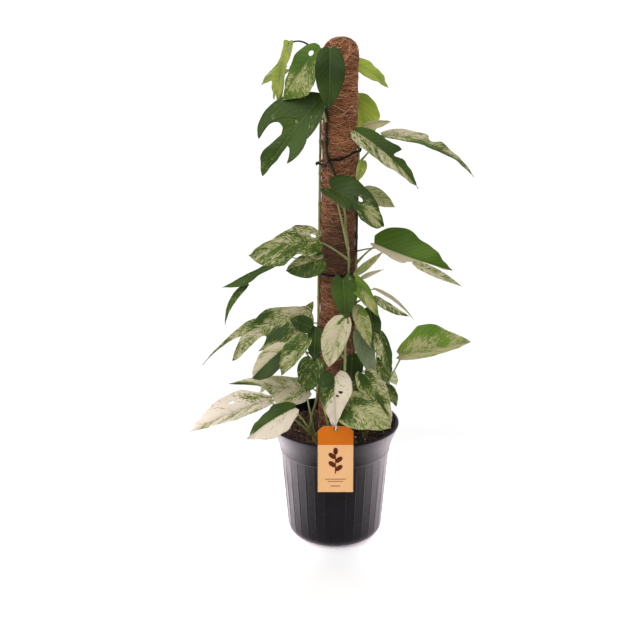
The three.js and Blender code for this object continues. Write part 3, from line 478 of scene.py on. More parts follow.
@dataclass(frozen=True)
class LeafSkin(Finish):
    """Waxy leaf: cream drawn out along the veins, edged with pale green and olive, over the leaf's green."""

    under: bool = False
    streak_mm: float = 2.3
    streak_length_mm: float = 5.5
    blotch_mm: float = 15.0
    fleck_mm: float = 1.6
    vein_gap_mm: float = 8.0
    rib_edges_mm: Pair = (1.1, 0.4)
    seed_step: float = 13.7
    thinning: float = 0.75
    rib_share: float = 0.26
    dull_share: float = 0.45
    relief_mm: float = 1.0
    speck: str = "#6c7038"
    olive: str = "#6c7838"
    pale: str = "#979a66"
    butter: str = "#a59e72"
    lemon: str = "#aeae60"
    blush: str = "#dfd0c0"
    rib: str = "#7d8c4c"
    dull: str = "#93a27b"

    def marbling(self, tree: Tree, place: bpy.types.Node) -> tuple[bpy.types.Node, ...]:
        """Adds three grains of noise drawn out along the veins: streaks, blotches and flecks.

        Args:
            tree: Node tree of the material.
            place: Node that splits the attribute "blade".

        Returns:
            The sum that decides where the leaf is pale, and the flecks alone.
        """
        along, out, seed = place.outputs
        score = 0.0
        for across_mm, along_mm, shift, detail, weight in (
            (self.streak_mm, self.streak_length_mm, 0.0, 3.0, 0.31),
            (self.blotch_mm, self.blotch_mm * 1.6, 5.0, 1.0, 0.30),
            (self.fleck_mm, self.fleck_mm * 2.0, 9.0, 2.0, 0.39),
        ):
            x = add_node(tree, "Math", {"operation": "DIVIDE"}, i0=along, i1=across_mm)
            y = add_node(tree, "Math", {"operation": "DIVIDE"}, i0=out, i1=along_mm)
            z = add_node(tree, "Math", SCALE_AND_ADD, i0=seed, i1=self.seed_step, i2=shift)
            where = add_node(tree, "CombineXYZ", i0=x, i1=y, i2=z)
            grain = add_node(tree, "TexNoise", Vector=where, Scale=1.0, Detail=detail)
            score = add_node(tree, "Math", SCALE_AND_ADD, i0=grain, i1=weight, i2=score)
        return score, grain

    def pattern(self, tree: Tree) -> dict[str, object]:
        """Adds the marbled colour and the relief of the veins.

        Args:
            tree: Node tree of the material.

        Returns:
            Colour and relief, read from the mesh attributes "blade", "tone" and "ground".
        """
        blade, tone, ground = (
            add_node(tree, "Attribute", {"attribute_name": name}) for name in ("blade", "tone", "ground")
        )
        place = add_node(tree, "SeparateXYZ", i0=blade.outputs["Vector"])
        amount, shade, warmth = add_node(tree, "SeparateXYZ", i0=tone.outputs["Vector"]).outputs
        score, fleck = self.marbling(tree, place)
        # At an amount of a half, half of the leaf is pale, and the limit falls as the amount grows.
        limit = add_node(tree, "Math", SCALE_AND_ADD, i0=amount, i1=-0.24, i2=0.62)
        over = add_node(tree, "Math", {"operation": "SUBTRACT"}, i0=score, i1=limit)
        turn = 2 * math.pi / self.vein_gap_mm
        veins = add_node(tree, "Math", SCALE, i0=place.outputs[0], i1=turn)
        ripple = add_node(tree, "Math", {"operation": "SINE"}, i0=veins)
        relief = add_node(tree, "Math", SCALE_AND_ADD, i0=ripple, i1=0.07, i2=0.97)
        chill = add_node(tree, "Math", SCALE, i0=warmth, i1=-1.0)
        cream = add_node(tree, "Mix", BLEND, i0=warmth, i6=self.butter, i7=self.blush)
        cream = add_node(tree, "Mix", BLEND, i0=chill, i6=cream, i7=self.lemon)
        # What green is left in a mostly pale leaf is thin and olive.
        mostly = add_node(tree, "MapRange", SMOOTH, Value=amount, From_Min=0.45, From_Max=1.0)
        thin = add_node(tree, "Math", SCALE, i0=mostly, i1=self.thinning)
        colour = add_node(tree, "Mix", BLEND, i0=thin, i6=ground.outputs["Color"], i7=self.speck)
        colour = add_node(tree, "Mix", TINT, i0=1.0, i6=colour, i7=relief)
        edges = ((-0.095, -0.03, self.olive), (-0.05, 0.01, self.pale), (-0.005, 0.06, cream))
        for low, high, paint in edges:
            edge = add_node(tree, "MapRange", SMOOTH, Value=over, From_Min=low, From_Max=high)
            colour = add_node(tree, "Mix", BLEND, i0=edge, i6=colour, i7=paint)
        off_rib = add_node(tree, "Math", {"operation": "ABSOLUTE"}, i0=place.outputs[1])
        start, full = self.rib_edges_mm
        rib = add_node(tree, "MapRange", SMOOTH, Value=off_rib, From_Min=start, From_Max=full)
        rib_share = add_node(tree, "Math", SCALE, i0=rib, i1=self.rib_share)
        colour = add_node(tree, "Mix", BLEND, i0=rib_share, i6=colour, i7=self.rib)
        if self.under:
            colour = add_node(tree, "Mix", BLEND, i0=self.dull_share, i6=colour, i7=self.dull)
        colour = add_node(tree, "Mix", TINT, i0=1.0, i6=colour, i7=shade)
        height = add_node(tree, "Math", SCALE, i0=fleck, i1=0.25)
        height = add_node(tree, "Math", SCALE_AND_ADD, i0=ripple, i1=0.16, i2=height)
        # The rib is a groove in the face and stands proud of the underside.
        height = add_node(tree, "Math", SCALE_AND_ADD, i0=rib, i1=0.5 if self.under else -0.5, i2=height)
        bump = add_node(tree, "Bump", Strength=0.5, Distance=self.relief_mm * MM, Height=height)
        return {"Base_Color": colour, "Normal": bump}


@dataclass(frozen=True)
class StalkSkin(Finish):
    """Smooth green rind of stems and leaf stalks, with pale lengthwise stripes and corky brown patches."""

    stripe: str = "#c9cf9a"
    cork: str = "#7d6d48"
    aged: str = "#2a2a1c"
    corky: float = 0.2
    # Cells for each millimetre along and round the rind, and the step from one stem to the next.
    stripe_cells: Point = (0.02, 0.9, 7.0)
    cork_cells: Point = (0.09, 0.12, 3.0)

    def pattern(self, tree: Tree) -> dict[str, object]:
        """Adds the stripes, the cork and the dark old stretches.

        Args:
            tree: Node tree of the material.

        Returns:
            Colour, read from "blade" as (length, round, seed) and from "tone" as age.
        """
        blade, tone = (add_node(tree, "Attribute", {"attribute_name": name}) for name in ("blade", "tone"))
        colour = self.colour
        for cells, detail, low, high, paint in (
            (self.stripe_cells, 2.0, 0.42, 0.62, self.stripe),
            (self.cork_cells, 4.0, 0.72 - self.corky, 0.8 - self.corky, self.cork),
        ):
            where = add_node(tree, "VectorMath", SCALE, i0=blade.outputs["Vector"], i1=cells)
            noise = add_node(tree, "TexNoise", Vector=where, Scale=1.0, Detail=detail)
            mask = add_node(tree, "MapRange", Value=noise, From_Min=low, From_Max=high)
            colour = add_node(tree, "Mix", BLEND, i0=mask, i6=colour, i7=paint)
        return {"Base_Color": add_node(tree, "Mix", BLEND, i0=tone.outputs["Fac"], i6=colour, i7=self.aged)}


@dataclass(frozen=True)
class TintedFibre(Finish):
    """Dry fibre or grit whose pieces each carry their own tint in the mesh attribute "tint"."""

    grain_mm: float = 1.2
    grain_depth: float = 0.4
    relief_mm: float = 1.0

    def pattern(self, tree: Tree) -> dict[str, object]:
        """Adds each piece's tint with a fine grain over it, and the grain's relief.

        Args:
            tree: Node tree of the material.

        Returns:
            Colour and relief.
        """
        tint = add_node(tree, "Attribute", {"attribute_name": "tint"})
        where = add_node(tree, "TexCoord").outputs["Object"]
        noise = add_node(tree, "TexNoise", Vector=where, Scale=1 / (self.grain_mm * MM), Detail=3.0)
        dark, light = 1 - self.grain_depth, 1 + self.grain_depth
        shade = add_node(tree, "MapRange", Value=noise, From_Min=0.3, From_Max=0.7, To_Min=dark, To_Max=light)
        colour = add_node(tree, "Mix", TINT, i0=1.0, i6=tint.outputs["Color"], i7=shade)
        bump = add_node(tree, "Bump", Strength=0.4, Distance=self.relief_mm * MM, Height=noise)
        return {"Base_Color": colour, "Normal": bump}


@dataclass(frozen=True)
class MouldedPlastic(Finish):
    """Injection moulded polypropylene: a satin black skin whose faint orange-peel keeps highlights soft."""

    peel_mm: float = 0.9
    peel_depth_mm: float = 0.5
    scuffs_in_a_metre: float = 28.0
    scuff_gloss: Pair = (-0.05, 0.08)
    dust: str = "#0f0d11"
    haze: float = 0.3
    haze_roughness: float = 0.4
    haze_colour: str = "#d8c2d0"

    def pattern(self, tree: Tree) -> dict[str, object]:
        """Adds faint cloudy scuffing, a haze of dust and the orange-peel of the mould.

        Args:
            tree: Node tree of the material.

        Returns:
            Colour, roughness, haze and relief.
        """
        where = add_node(tree, "TexCoord").outputs["Object"]
        cloud = add_node(tree, "TexNoise", Vector=where, Scale=self.scuffs_in_a_metre, Detail=6.0)
        low, high = (self.roughness + step for step in self.scuff_gloss)
        rough = add_node(tree, "MapRange", Value=cloud, From_Min=0.3, From_Max=0.7, To_Min=low, To_Max=high)
        dusty = add_node(tree, "MapRange", Value=cloud, From_Min=0.45, From_Max=0.8)
        peel = add_node(tree, "TexNoise", Vector=where, Scale=1 / (self.peel_mm * MM), Detail=1.0)
        return {
            "Base_Color": add_node(tree, "Mix", BLEND, i0=dusty, i6=self.colour, i7=self.dust),
            "Roughness": rough,
            "Sheen_Weight": self.haze,
            "Sheen_Roughness": self.haze_roughness,
            "Sheen_Tint": self.haze_colour,
            "Normal": add_node(tree, "Bump", Strength=0.06, Distance=self.peel_depth_mm * MM, Height=peel),
        }


@dataclass(frozen=True)
class PrintedCard(Finish):
    """Coated card with a flat printed colour and the slightest mottle of its fibres."""

    # Coarser than the real fibres, so that it shows.
    mottle_mm: float = 1.5

    def pattern(self, tree: Tree) -> dict[str, object]:
        """Adds the printed colour with its mottle.

        Args:
            tree: Node tree of the material.

        Returns:
            Colour.
        """
        where = add_node(tree, "TexCoord").outputs["Object"]
        noise = add_node(tree, "TexNoise", Vector=where, Scale=1 / (self.mottle_mm * MM), Detail=4.0)
        shade = add_node(tree, "MapRange", Value=noise, To_Min=0.92, To_Max=1.06)
        return {"Base_Color": add_node(tree, "Mix", TINT, i0=1.0, i6=self.colour, i7=shade)}


# Wax on the leaf's face: a broad soft gleam over the marbling.
LEAF_FACE = LeafSkin("waxy leaf face", "#47752f", 0.40, 1.33, specular=0.25)
# No wax below: the underside is matt and a little greyer.
LEAF_UNDERSIDE = LeafSkin("matt leaf underside", "#6f8f50", 0.55, 1.33, specular=0.25, under=True)
# Young rind: smooth and faintly striped olive.
STALK_RIND = StalkSkin("leaf stalk rind", "#6b7840", 0.45, 1.4, specular=0.3, stripe="#9c9a68", corky=0.0)
# Older rind: duller, with brown cork where it has split.
STEM_RIND = StalkSkin("climbing stem rind", "#6f7443", 0.5, 1.4, specular=0.3, stripe="#928f5f")
# Dead dry skin: dull brown with no gleam.
ROOT_SKIN = Finish("dry gripping root", "#5b4029", 0.9)
# Felted coir under the windings: deep brown shadow between the fibres.
COIR_CORE = TintedFibre("matted coir core", "#55331f", 0.95, grain_mm=1.1, grain_depth=0.5)
# Loose coir: many browns beside each other, each fibre with a faint dry gleam.
COIR_FIBRE = TintedFibre("wound coconut fibre", "#93603c", 0.8, grain_mm=2.5, grain_depth=0.18)
# Thin-walled moulding: nearly black, with a soft gleam down each side.
POT_PLASTIC = MouldedPlastic("satin black polypropylene", "#08070a", 0.26, 1.49, specular=0.13)
# Damp peat and bark: dark and dull, with coarse grain.
POTTING_MIX = TintedFibre("damp potting mix", "#2b1d17", 0.95, grain_mm=2.2, grain_depth=0.5)
# Extruded soft strap: black with hardly a gleam.
STRAP_PLASTIC = Finish("soft black polyethylene", "#131214", 0.55, 1.4, specular=0.15)
# Plastic-coated card and its inks: flat even colours, the print a little duller than the card.
TAG_CARD = PrintedCard("coated cream card", "#e6b27e", 0.5, specular=0.2)
TAG_HEADER = PrintedCard("orange printed header", "#c96802", 0.5, specular=0.15)
TAG_INK = PrintedCard("dark brown printing ink", "#5a2410", 0.6, specular=0.1)
# Twisted cotton: soft white with no gleam.
COTTON = Finish("white cotton twist", "#efece2", 0.9)
# Turned softwood, hidden in the pole: plain pale brown.
STAKE_WOOD = Finish("turned pine", "#9a7850", 0.7)
# Painted studio floor: pale and matt.
FLOOR_PAINT = Finish("pale floor", "#fafafa", 0.9)


@dataclass
class MeshBuild:
    """Collects points and faces of one piece, with a material and attributes for each."""

    name: str
    points: list[np.ndarray] = field(default_factory=list)
    faces: list[list[tuple[int, ...]]] = field(default_factory=list)
    slots: list[np.ndarray] = field(default_factory=list)
    attributes: dict[str, list[np.ndarray]] = field(default_factory=dict)
    count: int = 0

    def add(
        self, points: np.ndarray, faces: np.ndarray | list, slot: int | np.ndarray = 0, **values: Numbers
    ) -> None:
        """Adds points and faces.

        Args:
            points: Points in millimetres, one row each.
            faces: Faces as rows of indices into points.
            slot: Material place for all faces, or one for each.
            **values: Attribute rows of three numbers, one for each point, or what spreads to that.
        """
        faces = np.asarray(faces, dtype=np.int64)
        self.points.append(points)
        self.faces.append((faces + self.count).tolist())
        self.slots.append(np.broadcast_to(slot, len(faces)))
        for key, rows in values.items():
            self.attributes.setdefault(key, []).append(np.broadcast_to(rows, (len(points), 3)))
        self.count += len(points)

    def finish(self, materials: list[bpy.types.Material], smooth: bool = True) -> Piece:
        """Makes the object.

        Args:
            materials: Materials in slot order.
            smooth: True for smooth shading.

        Returns:
            The object, linked to the scene.
        """
        mesh = bpy.data.meshes.new(self.name)
        points = np.concatenate(self.points) * MM
        mesh.from_pydata(points.tolist(), [], [face for group in self.faces for face in group])
        for material in materials:
            mesh.materials.append(material)
        mesh.polygons.foreach_set("material_index", np.concatenate(self.slots).astype(np.int32))
        mesh.polygons.foreach_set("use_smooth", np.full(len(mesh.polygons), smooth))
        for key, groups in self.attributes.items():
            layer = mesh.attributes.new(key, "FLOAT_VECTOR", "POINT")
            layer.data.foreach_set("vector", np.concatenate(groups).astype(np.float32).ravel())
        mesh.update()
        piece = bpy.data.objects.new(self.name, mesh)
        bpy.context.collection.objects.link(piece)
        return piece


def grid_faces(rows: int, columns: int, closed: bool = False, flip: bool = False) -> np.ndarray:
    """Quads between the rows of a grid of points.

    Args:
        rows: Rows of points.
        columns: Points in a row.
        closed: True if each row joins its own start.
        flip: True to turn each face round.

    Returns:
        Four indices a face.
    """
    i, j = np.meshgrid(np.arange(rows - 1), np.arange(columns if closed else columns - 1), indexing="ij")
    k = (j + 1) % columns
    a, b, c, d = i * columns + j, i * columns + k, (i + 1) * columns + k, (i + 1) * columns + j
    faces = np.stack([a, b, c, d], axis=-1).reshape(-1, 4)
    return faces[:, ::-1] if flip else faces


def tube(path: np.ndarray, radii: np.ndarray, sides: int, seed: float = 0.0) -> tuple[np.ndarray, ...]:
    """A round bar along a path with closed ends.

    Args:
        path: Points along the middle, in millimetres.
        radii: Radius at each point.
        sides: Points round.
        seed: Number that sets this bar's pattern apart.

    Returns:
        Points, faces, and rows of (length, round, seed) for each point.
    """
    tangents = unit(np.gradient(path, axis=0))
    upright = abs(tangents[0, 2]) >= 0.9
    side = np.array([1.0, 0.0, 0.0] if upright else [0.0, 0.0, 1.0])
    angles = circle(sides)
    lengths = np.concatenate([[0], np.cumsum(np.linalg.norm(np.diff(path, axis=0), axis=1))])
    rings = []
    for point, along, radius in zip(path, tangents, radii):
        side = unit(side - along * side.dot(along))
        other = np.cross(along, side)
        rings.append(point + radius * (np.cos(angles)[:, None] * side + np.sin(angles)[:, None] * other))
    # Two last rings of nearly no size close the ends.
    rings.insert(0, path[0] + (rings[0] - path[0]) * CLOSING_RING)
    rings.append(path[-1] + (rings[-1] - path[-1]) * CLOSING_RING)
    points = np.concatenate(rings)
    lengths = np.concatenate([[0], lengths, [lengths[-1]]])
    around = np.tile(angles * float(np.mean(radii)), len(rings))
    mark = np.stack([np.repeat(lengths, sides), around, np.full(len(points), seed)], axis=1)
    return points, grid_faces(len(rings), sides, closed=True), mark


def through(points: np.ndarray, steps: int, closed: bool = False) -> np.ndarray:
    """A smooth curve through points.

    Args:
        points: Points to pass.
        steps: Points to return.
        closed: True for a loop.

    Returns:
        Points along the curve.
    """
    p = np.asarray(points, dtype=float)
    if closed:
        p = np.concatenate([p[-1:], p, p[:2]])
    else:
        p = np.concatenate([2 * p[:1] - p[1:2], p, 2 * p[-1:] - p[-2:-1]])
    spans = len(p) - 3
    t = np.linspace(0, spans, steps, endpoint=not closed)
    i = np.minimum(t.astype(int), spans - 1)
    f = (t - i)[:, None]
    a, b, c, d = p[i], p[i + 1], p[i + 2], p[i + 3]
    return 0.5 * (2 * b + (c - a) * f + (2 * a - 5 * b + 4 * c - d) * f**2 + (3 * b - a - 3 * c + d) * f**3)


@dataclass(frozen=True)
class PoleLine:
    """The pole's centre line: upright, leaning a little to +X."""

    lean: float = 0.012
    soil: float = 165.0

    def at(self, z: Numbers) -> np.ndarray:
        """Centre of the pole at a height."""
        z = np.asarray(z, dtype=float)
        return np.stack([(z - self.soil) * self.lean, np.zeros_like(z), z], axis=-1)

    def beside(self, z: Numbers, degrees: Numbers, reach: Numbers) -> np.ndarray:
        """Point beside the pole.

        Args:
            z: Height.
            degrees: Turn round the pole from the front towards +X.
            reach: Distance from the pole's centre line.

        Returns:
            The point, or one for each height.
        """
        a = np.radians(degrees)
        x, y = np.sin(a) * reach, -np.cos(a) * reach
        return self.at(z) + np.stack([x, y, np.zeros_like(x)], axis=-1)


POLE = PoleLine()


@dataclass
class BladeMesh:
    """Turns a leaf's figures into points: the same surface as the part's solid, finer and softly waved."""

    leaf: Leaf
    seed: int
    # A leaf of the full length or width has all its rows or columns, and a smaller one fewer.
    rows: int = 64
    least_rows: int = 22
    full_length: float = 90.0
    half_columns: int = 13
    least_columns: int = 7
    full_width: float = 44.0
    thickness: float = 0.5
    fold: float = 15.0
    curl: float = 0.16
    stalk_at: float = 0.05
    vein_lean: float = 0.7
    # Long and short waves in a leaf's length, their height as a share of its width, and their outward growth.
    waves: Pair = (2.6, 5.3)
    wave_height: float = 0.028
    wave_growth: float = 1.6
    # The outline is smoothed over some of its fine places, fewer on a clawed leaf, and not at its ends.
    fine_places: int = 241
    smoothing: int = 12
    claw_smoothing: int = 5
    kept_ends: Pair = (0.12, 0.08)
    rib_shade: float = 0.10
    rib_shade_mm: float = 5.0

    def midrib(self, u: np.ndarray) -> tuple[np.ndarray, np.ndarray, np.ndarray, np.ndarray]:
        """Follows the midrib.

        Args:
            u: Places along it, from 0 to 1.

        Returns:
            Centre, and the along, up and across vectors, at each place.
        """
        at, tip, face = (np.array(v, dtype=float) for v in (self.leaf.at, self.leaf.tip, self.leaf.face))
        run = tip - at
        length = np.linalg.norm(run)
        along = run / length
        up = unit(face - along * face.dot(along))
        arch = self.leaf.arch
        side = np.cross(along, up)
        bend, turn = (4 * u * (1 - u))[:, None], (4 * (1 - 2 * u) / length)[:, None]
        centre = at + u[:, None] * run + bend * (arch * up + self.leaf.swing * side)
        slope = turn * arch
        bent_along = unit(along + slope * up + turn * self.leaf.swing * side)
        bent_up = unit(up - slope * along)
        return centre, bent_along, bent_up, np.cross(bent_along, bent_up)

    def stalk_end(self) -> np.ndarray:
        """Point a little way along the midrib, where the stalk ends."""
        return self.midrib(np.array([self.stalk_at]))[0][0]

    def outline(self, u: np.ndarray, v: np.ndarray) -> tuple[np.ndarray, np.ndarray]:
        """Reads the blade's outline, smoothed through its rows.

        Args:
            u: Places along the midrib.
            v: Distances out, negative on the left.

        Returns:
            Vein slant in degrees, and vein length.
        """
        fine = np.linspace(0, 1, self.fine_places)
        pad = self.claw_smoothing if self.leaf.left_shape else self.smoothing
        kernel = np.hanning(2 * pad + 1)
        first, last = self.kept_ends
        keep = smoothstep(fine, 0.0, first) * smoothstep(1 - fine, 0.0, last)
        slant, reach = np.zeros_like(u), np.zeros_like(u)
        for half, shape in ((v >= 0, self.leaf.shape), (v < 0, self.leaf.left_shape or self.leaf.shape)):
            rows = np.array(shape.value)
            for column, into in ((1, slant), (2, reach)):
                values = np.interp(fine, rows[:, 0], rows[:, column])
                padded = np.concatenate([np.full(pad, values[0]), values, np.full(pad, values[-1])])
                smooth = np.convolve(padded, kernel / kernel.sum(), "valid")
                into[half] = np.interp(u[half], fine, values * (1 - keep) + smooth * keep)
        return slant, reach

    def rise(self, u: np.ndarray, v: np.ndarray, out: np.ndarray, phase: np.ndarray) -> np.ndarray:
        """Height of the blade over its midrib: its fold, the curl of its margin and its waves.

        Args:
            u: Places along the midrib.
            v: Distances out as a share, negative on the left.
            out: Distances out in millimetres.
            phase: Four turns that shift the waves.

        Returns:
            Height at each place.
        """
        long, short = self.waves
        waves = np.sin(2 * np.pi * long * u + phase[0] + np.sign(v) * phase[1])
        waves += 0.5 * np.sin(2 * np.pi * short * u + phase[2] + np.sign(v) * phase[3])
        height = (math.tan(math.radians(self.fold)) - self.curl * np.abs(v)) * out
        scale = self.leaf.wave * self.wave_height * self.leaf.width
        return height + scale * waves * np.abs(v) ** self.wave_growth * smoothstep(u, 0.0, 0.2)

    def build(self, into: MeshBuild) -> None:
        """Adds the blade.

        Args:
            into: Mesh to add to.
        """
        leaf = self.leaf
        draw = np.random.default_rng(self.seed)
        length = float(np.linalg.norm(np.subtract(leaf.tip, leaf.at)))
        more = 2 if leaf.left_shape else 1
        rows = max(self.least_rows, int(self.rows * min(1.0, length / self.full_length) * more))
        half = max(self.least_columns, int(self.half_columns * min(1.0, leaf.width / self.full_width)))
        columns = 2 * half + 1
        total = rows * columns
        grid_u, grid_v = np.meshgrid(np.linspace(0, 1, rows), np.linspace(-1, 1, columns), indexing="ij")
        grid_u, grid_v, gone = self.pierce(grid_u, grid_v)
        u, v = grid_u.ravel(), grid_v.ravel()
        centre, along, up, across = self.midrib(u)
        slant, reach = self.outline(u, v)
        full = leaf.width / 2 * reach * self.cut(u, v)
        out = np.abs(v) * full
        phase = draw.uniform(0, 2 * np.pi, 4)
        angle = np.radians(slant + leaf.sweep * v**2)
        share = np.where(v < 0, leaf.halves[0], leaf.halves[1])
        sideways = across * (np.sign(v) * share * out * np.cos(angle))[:, None]
        forwards = along * (out * np.sin(angle))[:, None]
        mid = centre + sideways + forwards + up * self.rise(u, v, out, phase)[:, None]
        points = mid.reshape(rows, -1, 3)
        normal = unit(np.cross(np.gradient(points, axis=0), np.gradient(points, axis=1)).reshape(-1, 3))
        normal *= np.sign((normal * up).sum(axis=1, keepdims=True) + TINY)
        shell = np.concatenate([mid + normal * self.thickness / 2, mid - normal * self.thickness / 2])
        cells = grid_faces(rows, columns)[~gone]
        faces = np.concatenate([cells, cells[:, ::-1] + total, self.rim(cells, total)])
        slots = np.full(len(faces), Skin.UNDERSIDE)
        slots[: len(cells)] = Skin.FACE
        # The marbling follows the side veins, which run forward as they leave the midrib.
        seeds = np.full(total, self.seed * SEED_STEP)
        blade = np.stack([u * length - self.vein_lean * out, v * full, seeds], axis=1)
        shade = 1.0 - self.rib_shade * np.exp(-((out / self.rib_shade_mm) ** 2))
        tone = np.stack([self.cream_at(u, v), shade, np.full(total, leaf.blush)], axis=1)
        light, deep = (tint_of(colour) for colour in leaf.green.value)
        blend = (0.35 + 0.5 * np.sin(u * 5 + phase[0]) ** 2)[:, None] * draw.uniform(0.8, 1.1)
        ground = light * (1 - blend) + deep * blend
        blade, tone, ground = (np.tile(values, (2, 1)) for values in (blade, tone, ground))
        into.add(shell, faces, slots, blade=blade, tone=tone, ground=ground)

    def rim(self, cells: np.ndarray, total: int) -> np.ndarray:
        """Faces that join the two skins round every open edge.

        Args:
            cells: Faces of the upper skin.
            total: Points of one skin.

        Returns:
            Four indices a face.
        """
        edges = np.concatenate([cells[:, [0, 1]], cells[:, [1, 2]], cells[:, [2, 3]], cells[:, [3, 0]]])
        key = np.sort(edges, axis=1)
        _, first, counts = np.unique(key, axis=0, return_index=True, return_counts=True)
        a, b = edges[first[counts == 1]].T
        return np.stack([b, a, a + total, b + total], axis=1)

    def cut(self, u: np.ndarray, v: np.ndarray) -> np.ndarray:
        """Shortens the veins at the cuts.

        Args:
            u: Places along the midrib.
            v: Distances out, negative on the left.

        Returns:
            Share of the vein length that is left.
        """
        factor = np.ones_like(u)
        for side, at, depth, half in self.leaf.cuts:
            # A gap is narrow and round at its bottom and opens towards the margin.
            near = np.clip(1 - np.abs(u - at) / (half * (0.6 + 0.7 * v**2)), 0, 1)
            near *= np.sign(v) == side.value
            factor *= 1 - depth * near * (2 - near)
        return factor

    def pierce(self, u: np.ndarray, v: np.ndarray) -> tuple[np.ndarray, np.ndarray, np.ndarray]:
        """Moves grid lines onto the edge of each hole and marks the cells inside it.

        Args:
            u: Places along the midrib.
            v: Distances out, negative on the left.

        Returns:
            The moved u and v, and a flag for each cell that is open.
        """
        gone = np.zeros((u.shape[0] - 1, u.shape[1] - 1), dtype=bool)
        for side, at, out, half_length, half_width in self.leaf.holes:
            du, dv = (u - at) / half_length, (v - side.value * out) / half_width
            reach = np.hypot(du, dv)
            cell = max((u[1, 0] - u[0, 0]) / half_length, (v[0, 1] - v[0, 0]) / half_width)
            snap = np.abs(reach - 1) < 0.5 * cell
            scale = np.where(snap, 1 / np.maximum(reach, 1e-6), 1.0)
            u = np.where(snap, at + du * scale * half_length, u)
            v = np.where(snap, side.value * out + dv * scale * half_width, v)
            x, y = ((w[:-1, :-1] + w[1:, 1:] + w[1:, :-1] + w[:-1, 1:]) / 4 for w in (u, v))
            gone |= np.hypot((x - at) / half_length, (y - side.value * out) / half_width) < 0.96
        return u, v, gone.ravel()

    def cream_at(self, u: np.ndarray, v: np.ndarray) -> np.ndarray:
        """Finds the share of cream from the blade's halves and its spots.

        Args:
            u: Places along the midrib.
            v: Distances out, negative on the left.

        Returns:
            Share at each place.
        """
        left, right = self.leaf.cream
        turn = smoothstep(v, -0.06, 0.06)
        amount = left * (1 - turn) + right * turn
        for side, at, out, radius, change in self.leaf.spots:
            near = np.exp(-(((u - at) / radius) ** 2) - ((v - side.value * out) / (2 * radius)) ** 2)
            amount = amount + change * near
        return amount


@dataclass
class LeafyStem:
    """A stem with its leaf stalks and leaves, dressed as one piece."""

    name: str
    leaves: tuple[Leaf, ...]
    skins: list[bpy.types.Material]
    seed: int
    stem_sides: int = 12
    stalk_radius: float = 1.6
    stalk_tip_radius: float = 1.0
    stalk_middle: float = 0.55
    stalk_steps: int = 16
    stalk_sides: int = 8
    # Each swelling: its rise, its place along the stalk and its length.
    collar: Point = (0.5, 0.9, 0.05)
    sheath: Point = (0.7, 0.0, 0.2)

    def root(self, leaf: Leaf) -> np.ndarray:
        """Point inside the stem that the leaf's stalk grows from."""
        raise NotImplementedError

    def stem(self, into: MeshBuild) -> None:
        """Adds the stem itself."""
        raise NotImplementedError

    def stalk_line(self, leaf: Leaf, t: Numbers) -> np.ndarray:
        """Middle of a leaf's stalk.

        Args:
            leaf: The leaf.
            t: Places along the stalk, 0 in the stem and 1 in the blade.

        Returns:
            The point at each place.
        """
        start, end = self.root(leaf), BladeMesh(leaf, self.seed).stalk_end()
        middle = start + (end - start) * self.stalk_middle + np.array(leaf.bow, dtype=float)
        return start * (1 - t) ** 2 + 2 * middle * t * (1 - t) + end * t**2

    def stalk(self, leaf: Leaf, seed: int, into: MeshBuild) -> None:
        """Adds a leaf's stalk, with the sheath at its foot and the swollen collar under the blade.

        Args:
            leaf: The leaf.
            seed: The leaf's seed.
            into: Mesh to add to.
        """
        t = np.linspace(0, 1, self.stalk_steps)
        swellings = (self.collar, self.sheath)
        swollen = sum(rise * np.exp(-(((t - at) / wide) ** 2)) for rise, at, wide in swellings)
        radii = self.stalk_radius + (self.stalk_tip_radius - self.stalk_radius) * t + swollen
        # A small leaf has a thinner stalk.
        radii *= min(1.0, 0.55 + leaf.width / 90)
        path = self.stalk_line(leaf, t[:, None])
        points, faces, mark = tube(path, radii, self.stalk_sides, seed * SEED_STEP)
        into.add(points, faces, Skin.STALK, blade=mark, tone=leaf.old_stalk, ground=0.0)

    def build(self) -> Piece:
        """Makes the whole leafy stem.

        Returns:
            The finished piece.
        """
        mesh = MeshBuild(self.name + "_dressed")
        self.stem(mesh)
        for seed, leaf in enumerate(self.leaves, self.seed * 100):
            BladeMesh(leaf, seed).build(mesh)
            if not leaf.lobe:
                self.stalk(leaf, seed, mesh)
        piece = mesh.finish(self.skins)
        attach(piece, ROOT)
        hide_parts(self.name)
        return piece


